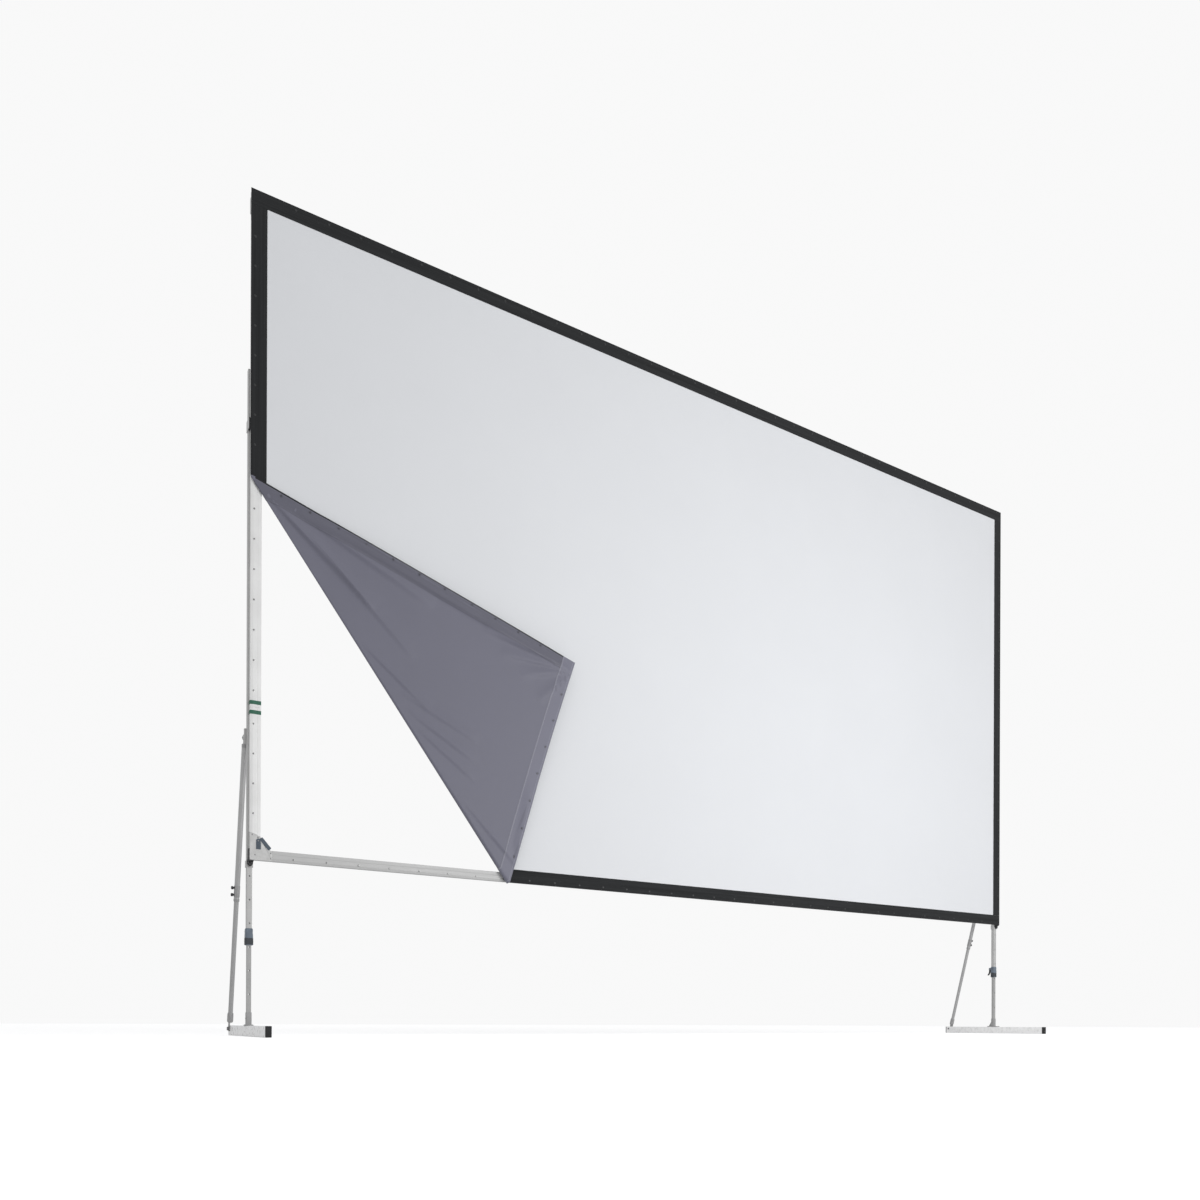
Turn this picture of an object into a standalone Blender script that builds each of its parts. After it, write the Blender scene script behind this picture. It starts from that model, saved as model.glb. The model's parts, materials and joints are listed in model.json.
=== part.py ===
"""A folding rear projection screen on two telescopic legs.

A hollow aluminium frame of plugged lengths and cast corners holds a cloth on snap studs. The cloth's
lower left corner is unsnapped and folded forward. Each leg is an upright with a telescopic inner tube,
a long foot bar and a telescopic brace. Metres, +Z up, the audience at -Y, origin on the floor in the
middle of the feet.
"""

import math

import bmesh
import bpy
from mathutils import Matrix, Vector

# Picture and cloth
PICTURE_W = 6.400
PICTURE_H = 3.600
BORDER_W = 0.088
FLOOR_CLEAR = 0.990
CLOTH_T = 0.001
BORDER_T = 0.0008

# Turned back corner of the cloth
FOLD_RISE = 2.163
FOLD_RUN = 1.606
ROLL_TOP_R = 0.004
ROLL_FOOT_R = 0.016
FLAP_LIFT = 0.050
CREASE_H = 0.016
FLAP_CLOSING_SHARE = 0.96
CREASE_PLACE_SHARES = (0.13, 0.31, 0.52, 0.74)
CREASE_HEIGHT_SHARES = (1.0, -0.7, 0.6, -0.4)
CREASE_WIDTH_SHARE = 0.07
CLOTH_ROWS = 18
ROLL_STEPS = 5
FLAP_STEPS = 20

# Fits
GAP = 0.0003
SLIP = 0.0005
BITE = 0.001
OVERRUN = 0.020
WELD = 0.00001
ROUND_SIDES = 16
SMALL_SIDES = 12
ARC_STEPS = 8
KNOB_LOBE_STEPS = 4
STUD_SIDES = 6

# Frame profile
PROFILE_W = 0.060
PROFILE_D = 0.030
PROFILE_WALL = 0.0025
FRAME_INSET = 0.004
TONGUE_L = 0.050
SIDE_LOWER_L = 0.715

# Snap studs
STUD_R = 0.0055
STUD_H = 0.004
STUD_EDGE = 0.019
STUD_JOINT_MARGIN = 0.0935
STUD_CORNER_MARGIN = 0.117
SIDE_STUD_PITCH = 0.169
RAIL_STUD_PITCH = 0.189

# Corner casting
CORNER_RISE = 0.145
CORNER_RUN = 0.125
JOINT_SLANT = 0.013
GUSSET_RISE = 0.065
GUSSET_RUN = 0.055
SCREW_R = 0.004
SCREW_H = 0.0015
SCREW_END = 0.009
HANG_LUG_OUT = 0.005
HANG_LUG_L = 0.090
HANG_LUG_D = 0.018
HANG_LUG_DROP = 0.040

# Corner latch
LATCH_PIVOT_EDGE = 0.013
LATCH_PIVOT_DROP = 0.035
LATCH_PIN_R = 0.004
LATCH_BLOCK_W = 0.026
LATCH_BLOCK_DROP = 0.048
LATCH_HUB_R = 0.012
LATCH_BAR_L = 0.078
LATCH_BAR_W = 0.010
LATCH_BAR_D = 0.018
LATCH_BAR_START = 0.022

# Upright and inner tube
LEG_INSET = 0.010
UPRIGHT_W = 0.030
TUBE_WALL = 0.0025
UPRIGHT_ABOVE_HOOK = 0.315
UPRIGHT_FOOT = 0.530
INNER_TOP = 1.350
INDEX_FIRST = 0.238
INDEX_PITCH = 0.1335
INDEX_R = 0.0045

# Height collar and its lever
COLLAR_LOW_WALL = 0.0087
COLLAR_TOP_WALL = 0.0057
COLLAR_DROP = 0.015
COLLAR_LOW_H = 0.041
COLLAR_H = 0.095
LEVER_PIVOT_DROP = 0.018
LEVER_PIVOT_BACK = 0.0125
LEVER_PIN_R = 0.003
LEVER_BARREL_R = 0.0085
LEVER_W = 0.020
LEVER_L = 0.058
LEVER_T = 0.005
LEVER_FLARE = 0.016
EAR_T = 0.005
EAR_H = 0.020

# Clamps that hold the frame to the upright
SHELF_H = 0.039
SHELF_OUT = 0.004
SHELF_PLATE_T = 0.008
SHELF_SIDE_T = 0.004
SHELF_SIDE_RISE = 0.065
SHELF_KNOB_R = 0.013
SHELF_KNOB_L = 0.016
SHELF_KNOB_DROP = 0.023
HOOK_ABOVE_JOINT = 0.2145
HOOK_H = 0.060
HOOK_T = 0.003
HOOK_BACK_T = 0.005
HOOK_SHORT = 0.003

# Foot
FOOT_L = 1.040
FOOT_W = 0.030
FOOT_H = 0.060
FOOT_CAP_L = 0.020
FOOT_END_L = 0.010
PLUG_L = 0.015
BASE_L = 0.110
BASE_T = 0.005
BASE_LIP = 0.001
SOCKET_WALL = 0.0045
SOCKET_H = 0.070
SOCKET_RIB_T = 0.012
SOCKET_RIB_OUT = 0.034

# Brace
BRACE_OUT = 0.014
BRACE_STAND = 0.035
BRACE_TOP_Z = 1.700
BRACE_FOOT_BACK = 0.485
BRACE_FOOT_Z = 0.040
BRACE_UPPER_R = 0.0155
BRACE_LOWER_R = 0.0135
BRACE_WALL = 0.0017
BRACE_UPPER_L = 0.935
BRACE_OVERLAP = 0.420
EYE_W = 0.016
EYE_R = 0.012
EYE_L = 0.040
BRACE_PIN_R = 0.004
BRACKET_H = 0.090
BRACKET_T = 0.005
BRACKET_EAR_T = 0.004
BRACKET_EAR_H = 0.026
CHEEK_T = 0.006
CHEEK_R = 0.016
CHEEK_L = 0.060
FITTING_R = 0.0175
FITTING_UP = 0.040
FITTING_L = 0.055
OPEN_PLAY = 0.0055
FOOT_PIN_HEAD_R = 0.011
FOOT_PIN_HEAD_T = 0.008
FOOT_NUT_R = 0.008
FOOT_NUT_T = 0.004
KNOB_UP = (0.077, 0.036)
KNOB_R = 0.010
KNOB_L = 0.012
KNOB_STEM_R = 0.003
BOSS_R = 0.007
BOSS_L = 0.005
KNOB_STAND = 0.001
KNOB_LOBES = 5
KNOB_LOBE_SHARE = 0.30

# Places worked out from the sizes above
SHEET_W = PICTURE_W + 2 * BORDER_W
SHEET_H = PICTURE_H + 2 * BORDER_W
SHEET_X = SHEET_W / 2
SHEET_TOP = FLOOR_CLEAR + SHEET_H
FRAME_X = SHEET_X - FRAME_INSET
FRAME_FOOT = FLOOR_CLEAR + FRAME_INSET
FRAME_TOP = SHEET_TOP - FRAME_INSET
FRAME_BACK_Y = -UPRIGHT_W / 2 - GAP
FRAME_FRONT_Y = FRAME_BACK_Y - PROFILE_D
FRAME_MID_Y = (FRAME_BACK_Y + FRAME_FRONT_Y) / 2
CLOTH_BACK_Y = FRAME_FRONT_Y - STUD_H - GAP
CLOTH_MID_Y = CLOTH_BACK_Y - CLOTH_T / 2
BORDER_MID_Y = CLOTH_BACK_Y - CLOTH_T - GAP - BORDER_T / 2
LATCH_PIVOT_RUN = PROFILE_W - LATCH_PIVOT_EDGE
LATCH_PIVOT_RISE = CORNER_RISE - LATCH_PIVOT_DROP
LATCH_T = STUD_H - 2 * GAP
SIDE_UPPER_L = (FRAME_TOP - FRAME_FOOT - 2 * CORNER_RISE - SIDE_LOWER_L) / 2
UPPER_JOINT_Z = FRAME_FOOT + CORNER_RISE + SIDE_LOWER_L + SIDE_UPPER_L
HOOK_Z = UPPER_JOINT_Z + HOOK_ABOVE_JOINT
UPRIGHT_TOP = HOOK_Z + UPRIGHT_ABOVE_HOOK
LEG_X = SHEET_X - LEG_INSET
INNER_W = UPRIGHT_W - 2 * TUBE_WALL - 2 * GAP
COLLAR_FOOT = UPRIGHT_FOOT - COLLAR_DROP
COLLAR_STEP = COLLAR_FOOT + COLLAR_LOW_H
COLLAR_TOP = COLLAR_FOOT + COLLAR_H
LEVER_PIVOT_Z = COLLAR_TOP - LEVER_PIVOT_DROP
BASE_LOW = FOOT_H + GAP
BASE_TOP = BASE_LOW + BASE_T
SOCKET_TOP = BASE_TOP + SOCKET_H
BRACE_TOP_BACK = UPRIGHT_W / 2 + BRACE_STAND
BRACE_LEAN = math.atan2(BRACE_FOOT_BACK - BRACE_TOP_BACK, BRACE_TOP_Z - BRACE_FOOT_Z)
BRACE_L = math.hypot(BRACE_FOOT_BACK - BRACE_TOP_BACK, BRACE_TOP_Z - BRACE_FOOT_Z)

UPWARD = Vector((0, 0, 1))
TO_XZ = Matrix.Rotation(math.pi / 2, 4, "X")
TO_YZ = Matrix.Rotation(math.pi / 2, 4, "Z") @ TO_XZ


def clear_scene():
    for item in list(bpy.data.objects):
        bpy.data.objects.remove(item)


def new_collection(name):
    made = bpy.data.collections.new(name)
    bpy.context.scene.collection.children.link(made)
    return made


def finish(name, colour, roughness, metallic):
    """A Principled material in the piece's own colour."""
    made = bpy.data.materials.new(name)
    made.use_nodes = True
    shader = made.node_tree.nodes["Principled BSDF"]
    shader.inputs["Base Color"].default_value = (*colour, 1)
    shader.inputs["Roughness"].default_value = roughness
    shader.inputs["Metallic"].default_value = metallic
    return made


clear_scene()
SCREEN = new_collection("rear_projection_screen")
CUTTERS = new_collection("cutters")

ALUMINIUM = finish("satin_aluminium", (0.72, 0.72, 0.71), 0.38, 0.9)
LEG_METAL = finish("leg_aluminium", (0.55, 0.55, 0.54), 0.42, 0.9)
FOOT_METAL = finish("pale_foot_bar", (0.85, 0.85, 0.85), 0.5, 0.2)
BLUE_GREY = finish("blue_grey_casting", (0.12, 0.16, 0.20), 0.45, 0.3)
BLACK = finish("black_plastic", (0.02, 0.02, 0.02), 0.5, 0.0)
CLOTH = finish("grey_cloth", (0.62, 0.64, 0.66), 0.7, 0.0)
BORDER = finish("black_border", (0.012, 0.013, 0.014), 0.8, 0.0)


def block(low, high):
    """A box between two opposite corners, given in any order."""
    size = [abs(b - a) for a, b in zip(low, high)]
    centre = (Vector(low) + Vector(high)) / 2
    shape = bmesh.new()
    bmesh.ops.create_cube(shape, size=1)
    place = Matrix.Translation(centre) @ Matrix.Diagonal((*size, 1))
    bmesh.ops.transform(shape, matrix=place, verts=shape.verts)
    return shape


def rod(start, end, radius, sides=ROUND_SIDES):
    """A round bar between two points."""
    start, end = Vector(start), Vector(end)
    run = end - start
    shape = bmesh.new()
    bmesh.ops.create_cone(
        shape, cap_ends=True, segments=sides, radius1=radius, radius2=radius, depth=run.length
    )
    turn = UPWARD.rotation_difference(run).to_matrix().to_4x4()
    place = Matrix.Translation((start + end) / 2) @ turn
    bmesh.ops.transform(shape, matrix=place, verts=shape.verts)
    return shape


def plate(outline, thickness, place):
    """A flat plate with this outline, its middle plane set by place."""
    curve = bpy.data.curves.new("outline", "CURVE")
    curve.dimensions = "2D"
    curve.fill_mode = "BOTH"
    curve.extrude = thickness / 2
    spline = curve.splines.new("POLY")
    spline.points.add(len(outline) - 1)
    for point, (x, y) in zip(spline.points, outline):
        point.co = (x, y, 0, 1)
    spline.use_cyclic_u = True
    holder = bpy.data.objects.new("outline", curve)
    mesh = bpy.data.meshes.new_from_object(holder)
    shape = bmesh.new()
    shape.from_mesh(mesh)
    bmesh.ops.remove_doubles(shape, verts=shape.verts, dist=WELD)
    bmesh.ops.transform(shape, matrix=place, verts=shape.verts)
    bmesh.ops.recalc_face_normals(shape, faces=shape.faces)
    bpy.data.objects.remove(holder)
    bpy.data.curves.remove(curve)
    bpy.data.meshes.remove(mesh)
    return shape


def round_end(centre, radius, length):
    """A strap's outline with one round end about the centre and a square end this far below it."""
    outline = []
    for step in range(ARC_STEPS + 1):
        angle = math.pi * step / ARC_STEPS
        outline.append((centre[0] + radius * math.cos(angle), centre[1] + radius * math.sin(angle)))
    outline.append((centre[0] - radius, centre[1] - length))
    outline.append((centre[0] + radius, centre[1] - length))
    return outline


def star(radius, low, high, axis_point, direction):
    """A hand knob with rounded lobes, from low to high along the direction."""
    steps = KNOB_LOBES * KNOB_LOBE_STEPS
    waist = radius * (1 - KNOB_LOBE_SHARE / 2)
    swing = radius * KNOB_LOBE_SHARE / 2
    outline = []
    for step in range(steps):
        angle = 2 * math.pi * step / steps
        reach = waist + swing * math.cos(KNOB_LOBES * angle)
        outline.append((reach * math.cos(angle), reach * math.sin(angle)))
    turn = UPWARD.rotation_difference(Vector(direction)).to_matrix().to_4x4()
    middle = Vector(axis_point) + Vector(direction) * (low + high) / 2
    return plate(outline, high - low, Matrix.Translation(middle) @ turn)


def merged(shapes):
    """One mesh that holds several shapes that stand apart."""
    whole = bmesh.new()
    for shape in shapes:
        mesh = bpy.data.meshes.new("part")
        shape.to_mesh(mesh)
        shape.free()
        whole.from_mesh(mesh)
        bpy.data.meshes.remove(mesh)
    return whole


def axis_point(name, place, parent=None, lean=0):
    """An empty that carries a body, on the axis of the body's joint."""
    made = bpy.data.objects.new(name, None)
    SCREEN.objects.link(made)
    made.location = place
    made.rotation_euler = (lean, 0, 0)
    made.parent = parent
    return made


def mesh_object(name, shape, collection, parent):
    mesh = bpy.data.meshes.new(name)
    shape.to_mesh(mesh)
    shape.free()
    made = bpy.data.objects.new(name, mesh)
    collection.objects.link(made)
    made.parent = parent
    return made


def piece(name, material, parent, base, *steps, solver="EXACT"):
    """A sub-part: a base shape, then shapes joined to it or cut from it, in the parent's own axes.

    MANIFOLD is for the pieces whose studs, screw heads or flush faces the exact solver leaves open.
    """
    made = mesh_object(name, base, SCREEN, parent)
    made.data.materials.append(material)
    for number, (action, shape) in enumerate(steps, 1):
        guide = mesh_object(f"{name}_{action}_{number}", shape, CUTTERS, parent)
        guide.hide_render = True
        guide.display_type = "WIRE"
        boolean = made.modifiers.new(f"{action} {number}", "BOOLEAN")
        boolean.operation = {"join": "UNION", "cut": "DIFFERENCE"}[action]
        boolean.solver = solver
        boolean.object = guide
    made.data.shade_smooth()
    made.data.set_sharp_from_angle(angle=math.radians(30))
    return made


# Frame: four sides, each measured along its run from a corner and inward across the profile
class Side:
    def __init__(self, start, run, inward):
        self.start = Vector(start)
        self.run = Vector(run)
        self.inward = Vector(inward)

    def at(self, along, across, y):
        spot = self.start + self.run * along + self.inward * across
        return Vector((spot.x, y, spot.y))

    def flat(self, along, across):
        return self.start + self.run * along + self.inward * across


LEFT = Side((-FRAME_X, FRAME_FOOT), (0, 1), (1, 0))
RIGHT = Side((FRAME_X, FRAME_FOOT), (0, 1), (-1, 0))
BOTTOM = Side((-FRAME_X, FRAME_FOOT), (1, 0), (0, 1))
TOP = Side((-FRAME_X, FRAME_TOP), (1, 0), (0, -1))
FRAME_W = 2 * FRAME_X
FRAME_H = FRAME_TOP - FRAME_FOOT
BORE_LOW = PROFILE_WALL
BORE_HIGH = PROFILE_W - PROFILE_WALL
BORE_FRONT_Y = FRAME_FRONT_Y + PROFILE_WALL
BORE_BACK_Y = FRAME_BACK_Y - PROFILE_WALL


def tongue(side, root, tip):
    """The part of a plug that slides into the next length, a gap clear of its bore."""
    return block(
        side.at(root, BORE_LOW + GAP, BORE_FRONT_Y + GAP),
        side.at(tip, BORE_HIGH - GAP, BORE_BACK_Y - GAP),
    )


def stud_places(low, high, low_margin, high_margin, pitch):
    """Even places between two margins, as near to the pitch as they can be."""
    first, last = low + low_margin, high - high_margin
    count = max(1, round((last - first) / pitch))
    return [first + (last - first) * number / count for number in range(count + 1)]


def frame_length(name, side, low, high, low_corner, high_corner, slant, pitch):
    """One hollow length with its studs, and a plug in the end that meets the next length."""
    low_slant = slant if low_corner else 0
    high_slant = slant if high_corner else 0
    low_end = low + GAP / 2
    high_end = high - GAP / 2
    outline = [
        side.flat(low_end + low_slant, 0),
        side.flat(low_end - low_slant, PROFILE_W),
        side.flat(high_end + high_slant, PROFILE_W),
        side.flat(high_end - high_slant, 0),
    ]
    base = plate(outline, PROFILE_D, Matrix.Translation((0, FRAME_MID_Y, 0)) @ TO_XZ)
    bore = block(
        side.at(low - OVERRUN, BORE_LOW, BORE_FRONT_Y),
        side.at(high + OVERRUN, BORE_HIGH, BORE_BACK_Y),
    )
    low_margin = STUD_CORNER_MARGIN if low_corner else STUD_JOINT_MARGIN
    high_margin = STUD_CORNER_MARGIN if high_corner else STUD_JOINT_MARGIN
    studs = merged(
        rod(
            side.at(place, STUD_EDGE, FRAME_FRONT_Y + BITE),
            side.at(place, STUD_EDGE, FRAME_FRONT_Y - STUD_H),
            STUD_R,
            STUD_SIDES,
        )
        for place in stud_places(low, high, low_margin, high_margin, pitch)
    )
    steps = [("cut", bore), ("join", studs)]
    if not high_corner:
        seat = block(
            side.at(high_end - TONGUE_L, BORE_LOW - BITE, BORE_FRONT_Y - BITE),
            side.at(high_end - BITE, BORE_HIGH + BITE, BORE_BACK_Y + BITE),
        )
        steps.append(("join", seat))
        steps.append(("join", tongue(side, high_end - 2 * BITE, high_end + TONGUE_L)))
    return piece(name, ALUMINIUM, ROOT, base, *steps, solver="MANIFOLD")


def frame_lengths():
    cuts = [CORNER_RISE, CORNER_RISE + SIDE_LOWER_L]
    cuts += [cuts[-1] + SIDE_UPPER_L, FRAME_H - CORNER_RISE]
    for label, side in (("left", LEFT), ("right", RIGHT)):
        for number, level in enumerate(("lower", "middle", "upper")):
            frame_length(
                f"{label}_side_{level}", side, cuts[number], cuts[number + 1],
                number == 0, number == 2, JOINT_SLANT, SIDE_STUD_PITCH,
            )
    rail_l = (FRAME_W - 2 * CORNER_RUN) / 3
    for label, side in (("bottom", BOTTOM), ("top", TOP)):
        for number, place in enumerate(("left", "centre", "right")):
            low = CORNER_RUN + rail_l * number
            frame_length(
                f"{label}_rail_{place}", side, low, low + rail_l,
                number == 0, number == 2, 0, RAIL_STUD_PITCH,
            )


class Corner:
    """A corner's own axes: run inward along the rail, rise inward along the side."""

    def __init__(self, label, x_sign, z_sign):
        self.label = label
        self.x_sign = x_sign
        self.z_sign = z_sign
        self.z = FRAME_FOOT if z_sign > 0 else FRAME_TOP

    def flat(self, run, rise):
        return Vector((self.x_sign * (FRAME_X - run), self.z + self.z_sign * rise))

    def at(self, run, rise, y):
        spot = self.flat(run, rise)
        return Vector((spot.x, y, spot.y))


CORNERS = [
    Corner("bottom_left", -1, 1),
    Corner("bottom_right", 1, 1),
    Corner("top_left", -1, -1),
    Corner("top_right", 1, -1),
]


def corner_casting(corner):
    """An L with a gusset in its inner corner, plugs for both lengths and a pin for the latch."""
    rise_end = CORNER_RISE - GAP / 2
    run_end = CORNER_RUN - GAP / 2
    outline = [
        corner.flat(0, 0),
        corner.flat(run_end, 0),
        corner.flat(run_end, PROFILE_W),
        corner.flat(PROFILE_W + GUSSET_RUN, PROFILE_W),
        corner.flat(PROFILE_W, PROFILE_W + GUSSET_RISE),
        corner.flat(PROFILE_W, rise_end - JOINT_SLANT),
        corner.flat(0, rise_end + JOINT_SLANT),
    ]
    base = plate(outline, PROFILE_D, Matrix.Translation((0, FRAME_MID_Y, 0)) @ TO_XZ)
    tongue_front, tongue_back = BORE_FRONT_Y + GAP, BORE_BACK_Y - GAP
    low, high = BORE_LOW + GAP, BORE_HIGH - GAP
    up_tongue = block(
        corner.at(low, rise_end - 2 * JOINT_SLANT, tongue_front),
        corner.at(high, rise_end + TONGUE_L, tongue_back),
    )
    run_tongue = block(
        corner.at(run_end - 2 * BITE, low, tongue_front),
        corner.at(run_end + TONGUE_L, high, tongue_back),
    )
    pin = rod(
        corner.at(LATCH_PIVOT_RUN, LATCH_PIVOT_RISE, FRAME_FRONT_Y + BITE),
        corner.at(LATCH_PIVOT_RUN, LATCH_PIVOT_RISE, FRAME_FRONT_Y - STUD_H),
        LATCH_PIN_R,
        SMALL_SIDES,
    )
    row = (PROFILE_W / 4, PROFILE_W * 3 / 4)
    slope = JOINT_SLANT * 2 / PROFILE_W
    screws = [(across, rise_end + JOINT_SLANT - slope * across - SCREW_END) for across in row]
    screws += [(run_end - SCREW_END, across) for across in row]
    heads = merged(
        rod(
            corner.at(run, rise, FRAME_FRONT_Y + BITE),
            corner.at(run, rise, FRAME_FRONT_Y - SCREW_H),
            SCREW_R,
            STUD_SIDES,
        )
        for run, rise in screws
    )
    steps = [("join", up_tongue), ("join", run_tongue), ("join", pin), ("join", heads)]
    if corner.z_sign < 0:
        lug = block(
            corner.at(BITE, HANG_LUG_DROP, FRAME_MID_Y - HANG_LUG_D / 2),
            corner.at(-HANG_LUG_OUT, HANG_LUG_DROP + HANG_LUG_L, FRAME_MID_Y + HANG_LUG_D / 2),
        )
        steps.append(("join", lug))
    piece(f"corner_{corner.label}", ALUMINIUM, ROOT, base, *steps, solver="MANIFOLD")


def corner_latch(corner):
    """A flat lever on the casting's face, with a handle bar along the gusset's edge."""
    pivot = corner.at(LATCH_PIVOT_RUN, LATCH_PIVOT_RISE, FRAME_FRONT_Y)
    carrier = axis_point(f"latch_{corner.label}_axis", pivot, ROOT)
    back = -GAP
    front = back - LATCH_T

    def local(run, rise, y):
        return Vector((-corner.x_sign * run, y, corner.z_sign * rise))

    hub = rod(local(0, 0, back), local(0, 0, front), LATCH_HUB_R)
    body = block(
        local(-LATCH_HUB_R, 0, back),
        local(LATCH_BLOCK_W - LATCH_HUB_R, -LATCH_BLOCK_DROP, front),
    )
    slope = math.atan2(GUSSET_RISE, GUSSET_RUN)
    edge_run = PROFILE_W - LATCH_PIVOT_RUN
    edge_rise = PROFILE_W + GUSSET_RISE - LATCH_PIVOT_RISE
    along = Vector((math.cos(slope), -math.sin(slope)))
    off = Vector((math.sin(slope), math.cos(slope)))
    top = Vector((edge_run, edge_rise)) + off * SLIP

    def bar(start, end, low, high, y_back, y_front):
        """A straight bar beside the gusset's edge, measured along it and out from it."""
        corners = [
            top + along * start + off * low,
            top + along * end + off * low,
            top + along * end + off * high,
            top + along * start + off * high,
        ]
        outline = [(-corner.x_sign * p.x, corner.z_sign * p.y) for p in corners]
        middle = Matrix.Translation((0, (y_back + y_front) / 2, 0)) @ TO_XZ
        return plate(outline, abs(y_back - y_front), middle)

    web = bar(-SLIP, LATCH_BAR_L, -LATCH_BAR_W, LATCH_BAR_W, back, front)
    handle = bar(LATCH_BAR_START, LATCH_BAR_L, SLIP, LATCH_BAR_W, LATCH_BAR_D, back - LATCH_T / 2)
    hole = rod(
        local(0, 0, OVERRUN), local(0, 0, -OVERRUN), LATCH_PIN_R + SLIP, SMALL_SIDES
    )
    piece(
        f"latch_{corner.label}", BLUE_GREY, carrier, hub,
        ("join", body), ("join", web), ("join", handle), ("cut", hole), solver="MANIFOLD",
    )


# Cloth
def cloth_point(turn, row):
    """A point of the sheet's turned part.

    turn runs from 0 on the fold line to 1 at the end of the roll and on to 2 at the sheet's free edge.
    row runs from 0 at the fold's upper end to 1 at the sheet's lower edge.
    """
    upper = Vector((-SHEET_X, CLOTH_MID_Y, FLOOR_CLEAR + FOLD_RISE))
    lower = Vector((-SHEET_X + FOLD_RUN, CLOTH_MID_Y, FLOOR_CLEAR))
    along = (lower - upper).normalized()
    inward = Vector((-along.z, 0, along.x))
    forward = Vector((0, -1, 0))
    radius = ROLL_TOP_R + (ROLL_FOOT_R - ROLL_TOP_R) * row
    if turn <= 1:
        angle = math.pi * turn
        on_fold = upper + along * (lower - upper).length * row
        return on_fold - inward * radius * math.sin(angle) + forward * radius * (1 - math.cos(angle))
    share = turn - 1
    whole = math.atan2(FOLD_RUN, FOLD_RISE)
    angle = whole * share
    reach = row * FOLD_RISE / math.cos(whole - angle)
    angle *= FLAP_CLOSING_SHARE
    lift = 2 * radius + FLAP_LIFT * row * share
    for place, height in zip(CREASE_PLACE_SHARES, CREASE_HEIGHT_SHARES):
        distance = (share - place) / CREASE_WIDTH_SHARE
        lift += CREASE_H * height * row * math.exp(-distance * distance)
    return upper + (along * math.cos(angle) + inward * math.sin(angle)) * reach + forward * lift


def screen_cloth():
    """One cloth: a flat sheet with one corner cut away by the fold, the roll, and the turned flap."""
    shape = bmesh.new()
    rows = range(CLOTH_ROWS + 1)
    turns = [step / ROLL_STEPS for step in range(ROLL_STEPS + 1)]
    turns += [1 + step / FLAP_STEPS for step in range(1, FLAP_STEPS + 1)]
    grid = []
    for turn in turns:
        line = []
        for row in rows:
            if row == 0 and turn > 1:
                line.append(grid[ROLL_STEPS][0])
            else:
                line.append(shape.verts.new(cloth_point(turn, row / CLOTH_ROWS)))
        grid.append(line)
    for this, following in zip(grid, grid[1:]):
        for row in rows[:-1]:
            ring = [this[row], this[row + 1], following[row + 1], following[row]]
            shape.faces.new(dict.fromkeys(ring))
    corners = [(SHEET_X, FLOOR_CLEAR), (SHEET_X, SHEET_TOP), (-SHEET_X, SHEET_TOP)]
    far = [shape.verts.new((x, CLOTH_MID_Y, z)) for x, z in corners]
    shape.faces.new(grid[0] + far)
    bmesh.ops.recalc_face_normals(shape, faces=shape.faces)
    made = piece("screen_cloth", CLOTH, ROOT, shape)
    solid = made.modifiers.new("thickness", "SOLIDIFY")
    solid.thickness = CLOTH_T
    solid.offset = 0


def border_strips():
    """Four black strips on the cloth's face; the fold cuts the left and lower ones short."""
    slope = FOLD_RISE / FOLD_RUN
    left, right = -SHEET_X, SHEET_X
    low, high = FLOOR_CLEAR, SHEET_TOP
    side_top = high - BORDER_W - GAP
    fold_z = low + FOLD_RISE
    fold_x = left + FOLD_RUN
    clear = 2 * GAP
    outlines = {
        "border_top": [(left, high - BORDER_W), (right, high - BORDER_W), (right, high), (left, high)],
        "border_right": [
            (right - BORDER_W, low + BORDER_W + GAP), (right, low + BORDER_W + GAP),
            (right, side_top), (right - BORDER_W, side_top),
        ],
        "border_bottom": [
            (fold_x + clear, low), (right, low), (right, low + BORDER_W),
            (fold_x + clear - BORDER_W / slope, low + BORDER_W),
        ],
        "border_left": [
            (left, fold_z + clear), (left + BORDER_W, fold_z + clear - BORDER_W * slope),
            (left + BORDER_W, side_top), (left, side_top),
        ],
    }
    for name, outline in outlines.items():
        place = Matrix.Translation((0, BORDER_MID_Y, 0)) @ TO_XZ
        piece(name, BORDER, ROOT, plate(outline, BORDER_T, place))


# Legs
def square_tube(half, wall, low, high):
    """The outer block of an upright tube, and the block that is cut from it."""
    outer = block((-half, -half, low), (half, half, high))
    bore = half - wall
    inner = block((-bore, -bore, low - OVERRUN), (bore, bore, high + OVERRUN))
    return outer, inner


def leg(label, side):
    """One leg: the fixed upper pieces ride on the frame, the inner tube and foot slide in them."""
    upright = axis_point(f"{label}_upright_axis", (side * LEG_X, 0, 0), ROOT)
    sliding = axis_point(f"{label}_height_axis", (side * LEG_X, 0, 0), ROOT)
    upright_pieces(label, upright)
    frame_clamps(label, side, upright)
    sliding_pieces(label, side, sliding)
    brace(label, side)


def index_holes(low, high, half):
    """Holes from front to back at the common pitch, between two heights."""
    first = math.ceil((low - INDEX_FIRST) / INDEX_PITCH)
    last = math.floor((high - INDEX_FIRST) / INDEX_PITCH)
    heights = [INDEX_FIRST + INDEX_PITCH * number for number in range(first, last + 1)]
    reach = half + OVERRUN
    return merged(rod((0, -reach, z), (0, reach, z), INDEX_R, STUD_SIDES) for z in heights)


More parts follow.
